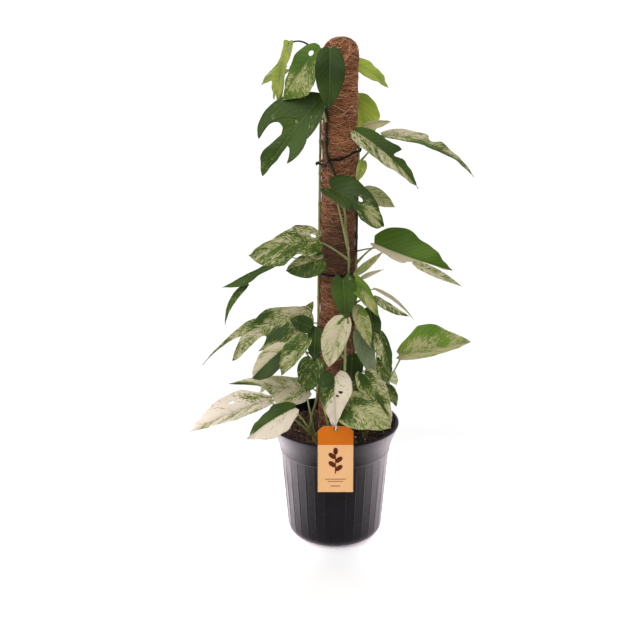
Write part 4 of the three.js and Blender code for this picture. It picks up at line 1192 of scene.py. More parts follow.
@dataclass
class Vine(LeafyStem):
    """A stem that climbs the pole, with swollen joints and short roots that grip the coir."""

    turns: tuple[Pair, ...] = ()
    aged: Pair = (0.0, 0.0)
    aged_edge: float = 8.0
    reach: float = 27.2
    reach_in_soil: float = 37.0
    # Heights over the soil between which the vine comes in to the pole.
    closing_in: Pair = (8.0, 60.0)
    radius: float = 2.2
    tip_radius: float = 1.7
    ring_gap: float = 3.0
    joint_rise: float = 0.55
    joint_length: float = 2.6
    # Bare joints: the first over the foot, the last under the top, and the step between them.
    bare_joints: Point = (70.0, 10.0, 46.0)
    roots_a_joint: int = 2
    rootless_height: float = 20.0
    root_length: float = 9.0
    root_radii: Pair = (1.0, 0.5)
    root_reaches: Pair = (26.6, 25.2)
    root_steps: int = 7
    root_sides: int = 5

    def line(self, z: np.ndarray) -> np.ndarray:
        """Follows the vine.

        Args:
            z: Heights.

        Returns:
            Its centre at each height.
        """
        heights, degrees = np.array(self.turns, dtype=float).T
        i = np.clip(np.searchsorted(heights, z, side="left") - 1, 0, len(heights) - 2)
        t = smoothstep((z - heights[i]) / (heights[i + 1] - heights[i]), 0.0, 1.0)
        turn = degrees[i] + (degrees[i + 1] - degrees[i]) * t
        low, high = (POLE.soil + over for over in self.closing_in)
        reach = self.reach_in_soil + (self.reach - self.reach_in_soil) * smoothstep(z, low, high)
        return POLE.beside(z, turn, reach)

    def centre(self, height: float) -> np.ndarray:
        """Centre of the vine at one height."""
        return self.line(np.array([float(height)]))[0]

    def root(self, leaf: Leaf) -> np.ndarray:
        """Point inside the vine at the leaf's joint."""
        return self.centre(leaf.node)

    def stem(self, into: MeshBuild) -> None:
        """Adds the climbing stem, thicker at each joint, and its gripping roots.

        Args:
            into: Mesh to add to.
        """
        foot, top = self.turns[0][0], self.turns[-1][0]
        z = np.linspace(foot, top, int((top - foot) / self.ring_gap))
        radii = self.radius + (self.tip_radius - self.radius) * (z - foot) / (top - foot)
        first, last, step = self.bare_joints
        joints = [leaf.node for leaf in self.leaves if not leaf.lobe]
        joints += list(np.arange(foot + first, top - last, step))
        for joint in joints:
            radii += self.joint_rise * np.exp(-(((z - joint) / self.joint_length) ** 2))
        points, faces, mark = tube(self.line(z), radii, self.stem_sides, self.seed * STEM_SEED_STEP)
        (low, high), edge, height = self.aged, self.aged_edge, points[:, 2]
        dark = smoothstep(height, low - edge, low + edge) * smoothstep(height, high + edge, high - edge)
        into.add(points, faces, Skin.STEM, blade=mark, tone=dark[:, None], ground=0.0)
        draw = np.random.default_rng(self.seed + 50)
        for joint in joints:
            if joint >= POLE.soil + self.rootless_height:
                for _ in range(self.roots_a_joint):
                    self.grip(joint, draw, into)

    def grip(self, height: float, draw: Draw, into: MeshBuild) -> None:
        """Adds one short root from a joint to the coir.

        Args:
            height: Height of the joint.
            draw: Random numbers.
            into: Mesh to add to.
        """
        start, middle = self.centre(height), POLE.at(height)
        radial = unit(start - middle)
        round_ = np.array([-radial[1], radial[0], 0.0]) * draw.uniform(-1, 1)
        length = self.root_length * draw.uniform(0.6, 1.3)
        near, far = self.root_reaches
        path = np.stack(
            [
                start,
                start + round_ * length * 0.5 - radial * 2.0,
                middle + radial * near + round_ * length + np.array([0, 0, draw.uniform(-4, 3)]),
                middle + radial * far + round_ * length * 1.4 + np.array([0, 0, draw.uniform(-9, 2)]),
            ]
        )
        radii = np.linspace(*self.root_radii, self.root_steps)
        points, faces, mark = tube(through(path, self.root_steps), radii, self.root_sides)
        into.add(points, faces, Skin.ROOT, blade=mark, tone=0.0, ground=0.0)


@dataclass
class Cutting(LeafyStem):
    """A rooted cutting: a short crown in the soil that a few long stalks rise from."""

    foot: Pair = (0.0, 0.0)
    foot_height: float = 120.0
    crown: float = 180.0
    stalks_below_crown: float = 8.0
    radius: float = 4.0
    rings: int = 18
    ripple: float = 0.5
    ripple_length: float = 4.0
    rounding: float = 4.0

    def root(self, leaf: Leaf) -> np.ndarray:
        """Point inside the crown."""
        return np.array([*self.foot, self.crown - self.stalks_below_crown])

    def stem(self, into: MeshBuild) -> None:
        """Adds the crown.

        Args:
            into: Mesh to add to.
        """
        z = np.linspace(self.foot_height, self.crown, self.rings)
        path = np.stack([np.full_like(z, self.foot[0]), np.full_like(z, self.foot[1]), z], axis=1)
        radii = self.radius + self.ripple * np.cos(z / self.ripple_length)
        radii *= np.clip((self.crown + self.rounding - z) / (2 * self.rounding), 0.5, 1)
        points, faces, mark = tube(path, radii, self.stem_sides, self.seed * STEM_SEED_STEP)
        into.add(points, faces, Skin.STEM, blade=mark, tone=0.0, ground=0.0)


@dataclass(frozen=True)
class FibreLay:
    """How the loose fibres lie: mostly round the pole, some steep, and a few standing off it."""

    # About twice as thick as real coir, so that single fibres show from the camera.
    radius: float = 0.3
    steps: int = 6
    lengths: Pair = (16.0, 46.0)
    tilt: float = 17.0
    steep_share: float = 0.10
    steep: float = 70.0
    bend: float = 0.16
    lift: float = 0.75
    sway: float = 0.25
    sway_turns: float = 1.5
    stray_share: float = 0.035
    stray_lift: Pair = (0.6, 2.2)
    pressed: float = 0.8
    thickness: Pair = (0.6, 1.25)
    taper: float = 0.6


@dataclass
class CoirPole:
    """The coir covering: a matted core with thousands of loose fibres wound round it."""

    radius: float = 25.4
    core_inset: float = 1.1
    bottom: float = 34.0
    wall_top: float = 729.0
    top: float = 750.0
    dome_height: float = 20.3
    dome_share: float = 0.8
    wall_rows: int = 150
    dome_rows: int = 16
    columns: int = 72
    # Depth and pitch of the windings' grooves, of the cords in them, and of the broad lumps.
    grooves: Pair = (0.35, 28.0)
    cords: Pair = (0.25, 9.0)
    lumps: Pair = (0.3, 37.0)
    fibres: int = 5200
    fibre_bottom: float = 160.0
    halves: int = 2
    seed: int = 7
    lay: FibreLay = FibreLay()
    tints: tuple[str, ...] = ("#6a3d27", "#84502f", "#a36b45", "#b98159", "#d0a07c", "#4a2a1b", "#97603a")
    gains: Pair = (0.6, 1.35)
    # The upper fibres are lighter by up to this share: painted light on the pole's top.
    painted_top_light: float = 0.55
    painted_top_light_heights: Pair = (500.0, 700.0)
    # Over the lower tie the front is darker by this share, up to an edge that falls to both sides: painted
    # shade.
    damp: Pair = (418.0, 500.0)
    painted_shade_depth: float = 0.6
    painted_shade_slope: float = 1.6

    def profile(self, z: np.ndarray, angle: np.ndarray) -> np.ndarray:
        """Radius of the covering, lumpy and drawn in by its windings.

        Args:
            z: Heights.
            angle: Turns from the front, in radians.

        Returns:
            The radius at each place.
        """
        dome = self.radius * self.dome_share
        share = np.clip((z - (self.top - dome)) / dome, 0, 1)
        cap = np.sqrt(np.clip(1 - share**2 * 0.9995, 0.0, 1.0))
        (groove, pitch), (cord, cord_pitch), (lump, lump_pitch) = self.grooves, self.cords, self.lumps
        windings = groove * np.cos(2 * np.pi * z / pitch + angle) + cord * np.sin(z / cord_pitch + 2 * angle)
        lumps = lump * np.sin(3 * angle + z / lump_pitch)
        return (self.radius - self.core_inset + (windings + lumps) * (1 - share)) * cap

    def surface(self, z: np.ndarray, angle: np.ndarray, proud: Numbers = 0.0) -> np.ndarray:
        """Points on the covering.

        Args:
            z: Heights.
            angle: Turns from the front, in radians.
            proud: Distance off the core.

        Returns:
            The points.
        """
        return POLE.beside(z, np.degrees(angle), self.profile(z, angle) + proud)

    def build(self) -> list[Piece]:
        """Makes the core and the fibres.

        Returns:
            The core piece, then the fibre pieces.
        """
        wall = np.linspace(self.bottom, self.wall_top, self.wall_rows)
        dome = self.top - self.dome_height * (1 - np.sin(np.linspace(0.04, 1, self.dome_rows) * np.pi / 2))
        z = np.concatenate([wall, dome])
        grid_z, grid_a = np.meshgrid(z, circle(self.columns), indexing="ij")
        mesh = MeshBuild("coir_core")
        faces = grid_faces(len(z), self.columns, closed=True)
        mesh.add(self.surface(grid_z.ravel(), grid_a.ravel()), faces, tint=tint_of(COIR_CORE.colour))
        core = mesh.finish([COIR_CORE.build()])
        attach(core, ROOT)
        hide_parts("coir_sleeve")
        pieces = [core]
        strand = COIR_FIBRE.build()
        for half in range(self.halves):
            piece = self.windings(half, strand)
            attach(piece, ROOT)
            pieces.append(piece)
        return pieces

    def windings(self, half: int, material: bpy.types.Material) -> Piece:
        """Makes one half of the pole's fibres, all as thin three-sided strands.

        Args:
            half: Which half, counted from the soil.
            material: Strand material.

        Returns:
            The piece.
        """
        draw = np.random.default_rng(self.seed + half)
        lay, n, steps = self.lay, self.fibres, self.lay.steps
        joint = (self.top - self.fibre_bottom) / self.halves
        start_z = draw.uniform(self.fibre_bottom + joint * half, self.fibre_bottom + joint * (half + 1), n)
        start_a = draw.uniform(0, 2 * np.pi, n)
        tilt = np.radians(draw.normal(0, lay.tilt, n))
        steep = draw.random(n) < lay.steep_share
        tilt[steep] += np.radians(draw.uniform(-lay.steep, lay.steep, steep.sum()))
        length = draw.uniform(*lay.lengths, n)
        t = np.linspace(-0.5, 0.5, steps)[None, :]
        to_end = np.abs(t) * 2
        heading = tilt[:, None] + draw.normal(0, lay.bend, (n, 1)) * t * 2
        z = start_z[:, None] + length[:, None] * t * np.sin(heading)
        a = start_a[:, None] + length[:, None] * t * np.cos(heading) / self.radius
        z = np.clip(z, self.fibre_bottom - 4, self.top - 0.02)
        lift = draw.uniform(0.0, lay.lift, (n, 1))
        lift = lift + lay.sway * np.cos(2 * np.pi * (t * lay.sway_turns + draw.random((n, 1))))
        stray = (draw.random((n, 1)) < lay.stray_share) * draw.uniform(*lay.stray_lift, (n, 1)) * to_end**2
        path = self.surface(z.ravel(), a.ravel(), (lift + stray).ravel() * lay.pressed).reshape(n, steps, 3)
        along = unit(np.gradient(path, axis=1))
        centre = POLE.at(z.ravel()).reshape(n, steps, 3)
        out = unit(path - centre)
        side = unit(np.cross(along, out))
        thick = lay.radius * draw.uniform(*lay.thickness, (n, 1, 1)) * (1 - lay.taper * to_end**3)[..., None]
        foot = path - out * thick * 0.5
        rings = [path + out * thick, foot + side * thick, foot - side * thick]
        points = np.stack(rings, axis=2).reshape(-1, 3)
        corners = len(rings)
        one = grid_faces(steps, corners, closed=True)
        faces = (one[None] + (np.arange(n) * steps * corners)[:, None, None]).reshape(-1, 4)
        tint = self.browns(draw, start_z, (path - centre)[:, steps // 2])
        mesh = MeshBuild(f"coir_windings_{half}")
        mesh.add(points, faces, tint=np.repeat(tint, steps * corners, axis=0))
        return mesh.finish([material])

    def browns(self, draw: Draw, height: np.ndarray, off: np.ndarray) -> np.ndarray:
        """Tint of each fibre: a brown from the palette, paler high up with painted light, and darker at the
        front over the lower tie with painted shade.

        Args:
            draw: Random numbers.
            height: Height of each fibre.
            off: Its middle, from the pole's centre line.

        Returns:
            Linear colours, one row for each fibre.
        """
        palette = np.stack([tint_of(colour) for colour in self.tints])
        # The damp heights mark painted shade: the front fibres over the lower tie are drawn darker.
        low, high = self.damp
        edge = high - self.painted_shade_slope * np.abs(off[:, 0])
        damp = smoothstep(height, low - 8, low) * smoothstep(edge - height, -10.0, 14.0)
        # Painted light: the fibres grow paler towards the pole's top.
        gain = 1 + self.painted_top_light * smoothstep(height, *self.painted_top_light_heights)
        gain *= 1 - self.painted_shade_depth * damp * (off[:, 1] < 0)
        chosen = palette[draw.integers(0, len(palette), len(height))]
        return chosen * (draw.uniform(*self.gains, len(height)) * gain)[:, None]


@dataclass
class NurseryPot:
    """The moulded pot: low flutes up to a step, a smooth collar above it that flares to a rolled lip."""

    flutes: int = 32
    points_a_flute: int = 16
    # Each flute is a flat facet, parted from the next by a raised bead and a groove. Widths are shares of it.
    crest: float = 0.4
    sag: float = 0.42
    groove: float = 0.3
    groove_at: float = 0.12
    bead_width: float = 0.05
    # Heights between which the flutes begin and end.
    flutes_begin: Pair = (12.0, 22.0)
    flutes_end: Pair = (133.0, 136.0)
    # Height and radius, up the outside and over the lip.
    profile: tuple[Pair, ...] = (
        (0, 52.5), (0.6, 57), (2.2, 61), (5.2, 65), (9.5, 68.3), (14, 69.9), (18, 70.5), (60, 73.8),
        (100, 77.1), (135.6, 80.0), (136.6, 80.3), (137.2, 81.2), (138.2, 81.7), (139.4, 81.6), (145, 82.5),
        (152, 84.4), (158, 86.6), (164, 89.2), (170, 91.8), (174.5, 93.7), (177, 94.9), (178.6, 95.0),
        (179.7, 94.4), (180, 93.4), (179.6, 92.5), (177, 91.3), (172, 90.4), (162, 87.0), (152, 82.8),
        (150, 82.3),
    )

    def build(self) -> Piece:
        """Makes the pot's skin.

        Returns:
            The pot piece.
        """
        around = self.flutes * self.points_a_flute
        angles = circle(around)
        part = (angles * self.flutes / (2 * np.pi)) % 1.0
        bead = np.exp(-((np.minimum(part, 1 - part) / self.bead_width) ** 2))
        groove = -self.groove * np.exp(-(((part - self.groove_at) / self.bead_width) ** 2))
        relief = self.crest * bead + (groove - self.sag * 4 * part * (1 - part))
        rings = []
        for z, r in self.profile:
            radius = r + smoothstep(z, *self.flutes_begin) * (1 - smoothstep(z, *self.flutes_end)) * relief
            x, y = radius * np.cos(angles), radius * np.sin(angles)
            rings.append(np.stack([x, y, np.full(around, z)], axis=1))
        mesh = MeshBuild("pot_skin")
        mesh.add(np.concatenate(rings), grid_faces(len(rings), around, closed=True))
        under = np.concatenate([rings[0], [[0.0, 0.0, 0.0]]])
        mesh.add(under, [((i + 1) % around, i, around) for i in range(around)])
        piece = mesh.finish([POT_PLASTIC.build()])
        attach(piece, ROOT)
        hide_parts("pot")
        return piece


@dataclass
class SoilBed:
    """Potting mix: an uneven dark bed with crumbs of peat and bark and white grains of perlite."""

    top: float = 165.0
    radius: float = 86.6
    crown: float = 1.2
    fall: float = 2.0
    waves: float = 0.8
    flat_edge: float = 2.0
    rings: int = 34
    columns: int = 120
    crumbs: int = 1500
    grains: int = 130
    # A crumb's size follows a gamma law of this shape and scale over a least size, a white grain's is even.
    crumb_law: Point = (2.2, 0.95, 0.6)
    grain_sizes: Pair = (0.9, 1.9)
    largest: float = 5.0
    flatness: float = 0.62
    roughness: float = 0.18
    seed: int = 21
    tints: tuple[str, ...] = ("#2a1b15", "#3b261c", "#1d1411", "#553524", "#46301f", "#6a4330")
    perlite: str = "#d9d4c8"

    def height(self, x: np.ndarray, y: np.ndarray) -> np.ndarray:
        """Height of the bed, a little higher in the middle and lumpy.

        Args:
            x: Places to the right.
            y: Places to the back.

        Returns:
            Height at each place.
        """
        r = np.hypot(x, y)
        waves = np.sin(x / 7.1 + 1.3) * np.sin(y / 8.3) + 0.6 * np.sin(x / 3.3 + y / 4.1)
        lumps = self.waves * waves * (r < self.radius - self.flat_edge)
        return self.top + self.crown - self.fall * (r / self.radius) ** 2 + lumps

    def build(self) -> Piece:
        """Makes the bed.

        Returns:
            The soil piece.
        """
        draw = np.random.default_rng(self.seed)
        mesh = MeshBuild("potting_mix")
        radii = np.concatenate([[0.05], np.linspace(3, self.radius, self.rings)])
        r, a = np.meshgrid(radii, circle(self.columns), indexing="ij")
        x, y = (r * np.cos(a)).ravel(), (r * np.sin(a)).ravel()
        points = np.stack([x, y, self.height(x, y)], axis=1)
        faces = grid_faces(len(radii), self.columns, closed=True)
        mesh.add(points, faces, tint=tint_of(POTTING_MIX.colour))
        for index in range(self.crumbs + self.grains):
            self.crumb(mesh, draw, white=index >= self.crumbs)
        piece = mesh.finish([POTTING_MIX.build()], smooth=False)
        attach(piece, ROOT)
        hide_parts("soil")
        return piece

    def crumb(self, mesh: MeshBuild, draw: Draw, white: bool) -> None:
        """Adds one rough crumb on the bed, an eight-sided lump with its corners pushed about.

        Args:
            mesh: Mesh to add to.
            draw: Random numbers.
            white: True for a grain of perlite.
        """
        distance = self.radius * math.sqrt(draw.uniform(0.05, 0.97))
        turn = draw.uniform(0, 2 * np.pi)
        shape, scale, least = self.crumb_law
        size = draw.uniform(*self.grain_sizes) if white else draw.gamma(shape, scale) + least
        size = min(size, self.largest)
        tint = tint_of(self.perlite if white else self.tints[draw.integers(len(self.tints))])
        x, y = distance * math.cos(turn), distance * math.sin(turn)
        corners = np.array([[1, 0, 0], [-1, 0, 0], [0, 1, 0], [0, -1, 0], [0, 0, 1], [0, 0, -1]], dtype=float)
        corners *= draw.uniform(0.55, 1.25, (6, 1))
        corners += draw.normal(0, self.roughness, (6, 3))
        spin = draw.uniform(0, 2 * np.pi)
        c, s = math.cos(spin), math.sin(spin)
        turned = corners @ np.array([[c, -s, 0], [s, c, 0], [0, 0, self.flatness]]).T
        at = np.array([x, y, float(self.height(np.array(x), np.array(y)))])
        faces = [(0, 2, 4), (2, 1, 4), (1, 3, 4), (3, 0, 4), (2, 0, 5), (1, 2, 5), (3, 1, 5), (0, 3, 5)]
        mesh.add(at + turned * size, faces, tint=tint)


@dataclass
class StrapTie:
    """A soft black plastic strap round the pole and its stems, ending in a small pinched knob."""

    name: str
    height: float
    tilt: float
    knob: float
    stems: list[Vine]
    pole_radius: float = 25.4
    # Room that the strap leaves for a stem, at its foot and at its top.
    stem_room: Pair = (3.6, 2.4)
    gap: float = 0.5
    thickness: float = 1.4
    width: float = 3.2
    squareness: float = 0.6
    around: int = 144
    section_points: int = 10
    knob_radius: float = 2.4
    knob_wide: float = 0.8
    knob_tall: float = 1.15
    knob_rows: int = 12
    knob_columns: int = 16

    def loop(self) -> tuple[np.ndarray, np.ndarray]:
        """Draws the strap tight round the pole and the stems.

        Returns:
            Points of its middle and the way each faces.
        """
        circles = [(POLE.at(self.height), self.pole_radius)]
        wide, narrow = self.stem_room
        for vine in self.stems:
            foot, top = vine.turns[0][0], vine.turns[-1][0]
            if self.height <= top:
                share = (self.height - foot) / (top - foot)
                circles.append((vine.centre(self.height), wide + (narrow - wide) * share))
        angles = circle(self.around)
        outs = np.stack([np.cos(angles), np.sin(angles), np.zeros_like(angles)], axis=1)
        reach = np.stack([outs @ centre + radius for centre, radius in circles])
        touched = reach.argmax(axis=0)
        centres = np.array([c for c, _ in circles])[touched]
        radii = np.array([r for _, r in circles])[touched]
        points = centres + outs * (radii + self.gap + self.thickness / 2)[:, None]
        points[:, 2] += self.tilt * outs[:, 0]
        return points, outs

    def build(self, material: bpy.types.Material) -> Piece:
        """Makes the strap.

        Args:
            material: The strap's plastic.

        Returns:
            The tie piece.
        """
        points, outs = self.loop()
        section = np.stack([np.cos(circle(self.section_points)), np.sin(circle(self.section_points))])
        # A circle pushed out towards a rectangle with soft corners.
        deep, tall = np.sign(section) * np.abs(section) ** self.squareness
        up = np.array([0.0, 0.0, self.width / 2])
        ring = [points + outs * (self.thickness / 2 * d) + up * t for d, t in zip(deep, tall)]
        grid = np.stack(ring, axis=1).reshape(-1, 3)
        mesh = MeshBuild(self.name + "_strap")
        mesh.add(grid, grid_faces(len(points) + 1, self.section_points, closed=True) % len(grid))
        aim = math.radians(self.knob - 90)
        near = int(np.argmax(outs @ np.array([math.cos(aim), math.sin(aim), 0])))
        seat = points[near] + outs[near] * self.knob_radius / 2
        falls = np.linspace(0.02, np.pi - 0.02, self.knob_rows)
        theta, phi = np.meshgrid(falls, circle(self.knob_columns), indexing="ij")
        wide = self.knob_wide * np.sin(theta)
        ball = np.stack([wide * np.cos(phi), wide * np.sin(phi), self.knob_tall * np.cos(theta)], axis=-1)
        faces = grid_faces(self.knob_rows, self.knob_columns, closed=True, flip=True)
        mesh.add(seat + ball.reshape(-1, 3) * self.knob_radius, faces)
        piece = mesh.finish([material])
        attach(piece, ROOT)
        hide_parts(self.name)
        return piece


@dataclass
class HangTag:
    """A card with clipped upper corners: an orange header over a cream field with a plain sprig and rules."""

    width: float = 51.0
    height: float = 103.0
    thickness: float = 0.9
    corner: float = 8.0
    top: float = 212.0
    y: float = -98.5
    hole: float = 2.6
    hole_drop: float = 6.0
    hole_points: int = 48
    header: float = 29.0
    ink_depth: float = 0.12
    # Each rule: height of its lower edge over the card's, width and thickness.
    rules: tuple[Point, ...] = ((20, 30, 0.9), (16.5, 22, 0.9), (9, 14, 1.1))
    # The sprig's stem as (height, half width), then each leaf as (height, side), with side 0 at the tip.
    sprig_stem: tuple[Pair, ...] = ((29, 0.8), (64, 0.6))
    sprig_leaves: tuple[tuple[float, int], ...] = ((34, 1), (40, -1), (47, 1), (53, -1), (59, 0))
    side_leaf: Pair = (12.5, 3.6)
    tip_leaf: Pair = (11.0, 3.4)
    leaf_lean: float = 50.0

    def face_y(self) -> float:
        """Plane of the card's printed side."""
        return self.y - self.thickness / 2

    def hole_z(self) -> float:
        """Height of the middle of the hole."""
        return self.top - self.hole_drop

    def outline(self, low: float) -> np.ndarray:
        """Outlines the card's upper part.

        Args:
            low: Height over the card's lower edge that it starts at.

        Returns:
            Corners in x and z.
        """
        w, c, foot = self.width / 2, self.corner, self.top - self.height + low
        clip = self.top - c
        return np.array([[-w, foot], [w, foot], [w, clip], [w - c, self.top], [c - w, self.top], [-w, clip]])

    def reach(self, shape: np.ndarray, way: np.ndarray) -> float:
        """Distance from the middle of the hole to an outline.

        Args:
            shape: Corners in x and z.
            way: Direction in x and z.

        Returns:
            The least distance.
        """
        nearest = math.inf
        for p, q in zip(shape, np.roll(shape, -1, axis=0)):
            edge, to = q - p, p - np.array([0.0, self.hole_z()])
            cross = way[0] * edge[1] - way[1] * edge[0]
            if abs(cross) > TINY:
                distance = (to[0] * edge[1] - to[1] * edge[0]) / cross
                share = (to[0] * way[1] - to[1] * way[0]) / cross
                if distance > 0 and -TINY <= share <= 1 + TINY:
                    nearest = min(nearest, distance)
        return nearest

    def plate(self, mesh: MeshBuild, shape: np.ndarray, front: float, back: float, slot: int) -> None:
        """Adds a flat plate with the string's hole.

        Args:
            mesh: Mesh to add to.
            shape: Corners in x and z.
            front: Plane of its front.
            back: Plane of its back.
            slot: Material place.
        """
        centre = np.array([0.0, self.hole_z()])
        angles = circle(self.hole_points) + 0.01
        ways = np.stack([np.cos(angles), np.sin(angles)], axis=1)
        outer = np.array([centre + way * self.reach(shape, way) for way in ways])
        for corner in shape:
            outer[int(np.argmin(np.linalg.norm(outer - corner, axis=1)))] = corner
        inner = centre + self.hole * ways
        loops = [(inner, front), (outer, front), (outer, back), (inner, back), (inner, front)]
        points = np.concatenate([[[x, y, z] for x, z in loop] for loop, y in loops])
        mesh.add(points, grid_faces(len(loops), self.hole_points, closed=True, flip=True), slot)

    def ink_shape(self, mesh: MeshBuild, shape: np.ndarray) -> None:
        """Adds one printed shape on the card's face.

        Args:
            mesh: Mesh to add to.
            shape: Corners in x and z.
        """
        count, back = len(shape), self.face_y()
        front = back - self.ink_depth
        rims = [[x, y, z] for y in (front, back) for x, z in shape]
        middle_x, middle_z = shape[:, 0].mean(), shape[:, 1].mean()
        edges = [(i, (i + 1) % count) for i in range(count)]
        fans = [(b, a, 2 * count) for a, b in edges]
        fans += [(a + count, b + count, 2 * count + 1) for a, b in edges]
        mesh.add(np.array(rims + [[middle_x, front, middle_z], [middle_x, back, middle_z]]), fans, 2)
        mesh.add(np.array(rims), [(a + count, b + count, b, a) for a, b in edges], 2)

    def leaflet(self, rise: float, side: int) -> np.ndarray:
        """Outlines one printed leaf of the sprig.

        Args:
            rise: Height of its foot.
            side: 1 for the right, -1 for the left and 0 at the tip.

        Returns:
            Corners in x and z.
        """
        t = np.linspace(0, np.pi, 9)
        length, width = self.side_leaf if side else self.tip_leaf
        along = length * (1 - np.cos(t)) / 2
        across = width * np.sin(t) ** 0.8
        loop = np.concatenate([np.stack([along, across], 1), np.stack([along, -across], 1)[-2:0:-1]])
        turn = math.radians(90 - self.leaf_lean * side)
        c, s = math.cos(turn), math.sin(turn)
        return loop @ np.array([[c, s], [-s, c]]) + np.array([0.0, rise])

    def print_face(self, mesh: MeshBuild) -> None:
        """Adds the printed sprig and the plain rules under it.

        Args:
            mesh: Mesh to add to.
        """
        foot = self.top - self.height
        for low, wide, thick in self.rules:
            w, z0, z1 = wide / 2, foot + low, foot + low + thick
            self.ink_shape(mesh, np.array([[-w, z0], [w, z0], [w, z1], [-w, z1]]))
        (low, wide), (high, narrow) = self.sprig_stem
        z0, z1 = foot + low, foot + high
        self.ink_shape(mesh, np.array([[-wide, z0], [wide, z0], [narrow, z1], [-narrow, z1]]))
        for rise, side in self.sprig_leaves:
            self.ink_shape(mesh, self.leaflet(foot + rise, side))

    def build(self) -> Piece:
        """Makes the tag.

        Returns:
            The tag piece.
        """
        mesh = MeshBuild("hang_tag")
        front, back = self.face_y(), self.y + self.thickness / 2
        self.plate(mesh, self.outline(0), front, back, 0)
        self.plate(mesh, self.outline(self.height - self.header), front - self.ink_depth, front, 1)
        self.print_face(mesh)
        piece = mesh.finish([TAG_CARD.build(), TAG_HEADER.build(), TAG_INK.build()], smooth=False)
        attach(piece, ROOT)
        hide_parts("tag")
        return piece


@dataclass
class TagString:
    """White cotton twist: through the tag's hole and round the front leaf's stalk."""

    front: Cutting
    tag: HangTag
    radius: float = 0.9
    clearance: float = 3.4
    place: float = 0.42
    steps: int = 180
    sides: int = 8
    twists: int = 40
    groove: float = 0.14

    def loop(self) -> list[Point]:
        """Follows the loop, from the tag's hole round the stalk and back.

        Returns:
            Points along it.
        """
        x, y, z = self.front.stalk_line(self.front.leaves[0], self.place)
        ring = self.clearance
        face, hole_z, top = self.tag.face_y(), self.tag.hole_z(), self.tag.top
        return [
            (0, face, hole_z),
            (0, face - 2.4, hole_z + 1.6),
            (0.8, face - 1.4, top + 2),
            (x + ring, face + (y - face) * 0.55, top + (z - top) * 0.5),
            (x + ring, y - 1, z - 0.6),
            (x + ring * 0.7, y + ring * 0.8, z),
            (x, y + ring * 1.2, z + 0.2),
            (x - ring * 0.7, y + ring * 0.8, z),
            (x - ring, y - 1, z - 0.6),
            (x - ring, face + (y - face) * 0.55, top + (z - top) * 0.4 - 2),
            (-0.8, face + 3.2, hole_z + 3),
            (0, face + 2.2, hole_z + 0.6),
        ]

    def build(self) -> Piece:
        """Makes the string.

        Returns:
            The string piece.
        """
        path = through(np.array(self.loop()), self.steps, closed=True)
        tangents = unit(np.roll(path, -1, axis=0) - np.roll(path, 1, axis=0))
        side = unit(np.array([1.0, 0, 0]) - tangents * tangents[:, :1])
        other = np.cross(tangents, side)
        twist = circle(self.steps) * self.twists
        rings = []
        for a in circle(self.sides):
            r = self.radius * ((1 - self.groove) + self.groove * np.cos(2 * (a - twist)))[:, None]
            rings.append(path + r * (math.cos(a) * side + math.sin(a) * other))
        grid = np.stack(rings, axis=1).reshape(-1, 3)
        mesh = MeshBuild("tag_loop")
        mesh.add(grid, grid_faces(self.steps + 1, self.sides, closed=True) % len(grid))
        piece = mesh.finish([COTTON.build()])
        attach(piece, ROOT)
        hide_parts("tag_string")
        return piece


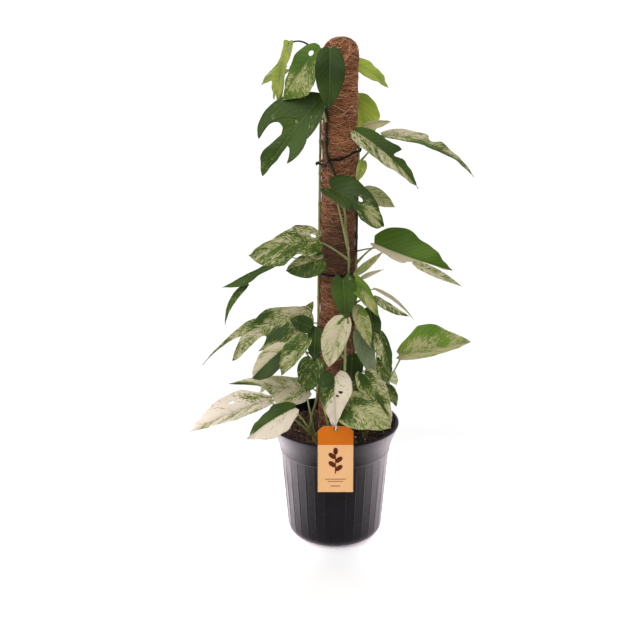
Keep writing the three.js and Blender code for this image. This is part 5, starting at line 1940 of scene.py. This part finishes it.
@dataclass
class Studio:
    """Plain pale floor, soft lights and the camera of the photograph."""

    eye: Point = (-22.3, -2200.0, 1101.6)
    down: float = 19.14
    view_degrees: float = 22.66
    # The sky's strength behind the camera and behind the plant, and the shares of +Y that it runs between.
    sky: Pair = (0.16, 0.85)
    sky_edges: Pair = (-0.8, 0.9)
    sun_power: float = 2.5
    sun_degrees: float = 70.0
    sun_aim: Point = (0.45, 0.75, -1.25)
    # The spots stand and aim in metres, and the first number is mirrored for the left one.
    pools: tuple[tuple[str, int, float], ...] = (("left", -1, 385.0), ("right", 1, 315.0))
    pool_place: Point = (0.95, -0.4, 0.7)
    pool_aim: Point = (0.385, -0.04, 0.0)
    pool_degrees: float = 30.8
    pool_size: float = 0.05
    pool_colour: str = "#fff3fb"
    floor: float = 6000.0

    def build(self) -> None:
        """Sets the stage."""
        scene = bpy.context.scene
        scene.view_settings.view_transform = "Standard"
        camera = bpy.data.cameras.new("camera")
        camera.angle = math.radians(self.view_degrees)
        camera.clip_end = 50
        eye = bpy.data.objects.new("camera", camera)
        eye.location = Vector(self.eye) * MM
        eye.rotation_euler = (math.radians(90 - self.down), 0, 0)
        scene.collection.objects.link(eye)
        scene.camera = eye
        self.build_sky(scene)
        sun = bpy.data.lights.new("overhead", "SUN")
        sun.energy = self.sun_power
        sun.angle = math.radians(self.sun_degrees)
        self.stand(sun, Vector(self.sun_aim))
        for name, side, power in self.pools:
            self.build_pool(name, side, power)
        r = self.floor
        sheet = MeshBuild("floor")
        sheet.add(np.array([[-r, -r, 0], [r, -r, 0], [r, r, 0], [-r, r, 0]]), [(0, 1, 2, 3)])
        floor = sheet.finish([FLOOR_PAINT.build()], smooth=False)

    def build_sky(self, scene: bpy.types.Scene) -> None:
        """Adds a sky that is bright behind and beside the plant and dimmer behind the camera.

        Args:
            scene: Scene to light.
        """
        world = bpy.data.worlds.new("studio")
        scene.world = world
        world.use_nodes = True
        tree = world.node_tree
        tree.nodes.clear()
        way = add_node(tree, "SeparateXYZ", i0=add_node(tree, "TexCoord").outputs["Generated"]).outputs["Y"]
        (low, high), (dim, bright) = self.sky_edges, self.sky
        glow = add_node(tree, "MapRange", Value=way, From_Min=low, From_Max=high, To_Min=dim, To_Max=bright)
        light = add_node(tree, "Background", Color="#ffffff", Strength=glow)
        add_node(tree, "OutputWorld", Surface=light)

    def build_pool(self, name: str, side: int, power: float) -> None:
        """Lights a soft pool of floor beside the pot, whose gleam runs down the pot's side.

        Args:
            name: Name of the lamp.
            side: -1 for the left and 1 for the right.
            power: Power in watts.
        """
        lamp = bpy.data.lights.new(name, "SPOT")
        lamp.spot_size = math.radians(self.pool_degrees)
        lamp.spot_blend = 1.0
        lamp.shadow_soft_size = self.pool_size
        lamp.use_shadow = False
        lamp.energy = power
        lamp.color = linear(self.pool_colour)[:3]
        place, aim = (Vector((side * x, y, z)) for x, y, z in (self.pool_place, self.pool_aim))
        self.stand(lamp, aim - place).location = place

    def stand(self, lamp: bpy.types.Light, way: Vector) -> Piece:
        """Puts a lamp in the scene.

        Args:
            lamp: The lamp.
            way: Direction that it shines in.

        Returns:
            Its object.
        """
        stand = bpy.data.objects.new(lamp.name, lamp)
        stand.rotation_euler = way.to_track_quat("-Z", "Y").to_euler()
        bpy.context.scene.collection.objects.link(stand)
        return stand


def main() -> None:
    """Builds each piece in order and reports it."""
    logging.basicConfig(level=logging.INFO, format="%(message)s")
    Studio().build()
    skins = [finish.build() for finish in (LEAF_FACE, LEAF_UNDERSIDE, STALK_RIND, STEM_RIND, ROOT_SKIN)]
    vines = [
        Vine(name, LEAVES[name], skins, seed, turns=turns, **HABITS.get(name, {}))
        for seed, (name, turns) in enumerate(TURNS.items(), 1)
    ]
    cuttings = {
        name: Cutting(name, LEAVES[name], skins, seed, foot=foot)
        for seed, (name, foot) in enumerate(FEET.items(), 11)
    }
    pieces = [plant.build() for plant in (*vines, *cuttings.values())]
    pieces += CoirPole().build()
    pieces += [NurseryPot().build(), SoilBed().build()]
    strap = STRAP_PLASTIC.build()
    for name, height, tilt, knob in TIES:
        pieces.append(StrapTie(name, height, tilt, knob, vines).build(strap))
    tag = HangTag()
    pieces += [tag.build(), TagString(cuttings["cutting_front"], tag).build()]
    for piece in pieces:
        LOG.info("%s: %d faces", piece.name, len(piece.data.polygons))
    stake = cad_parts["stake"]
    stake.data.materials.clear()
    stake.data.materials.append(STAKE_WOOD.build())


if __name__ == "__main__":
    main()
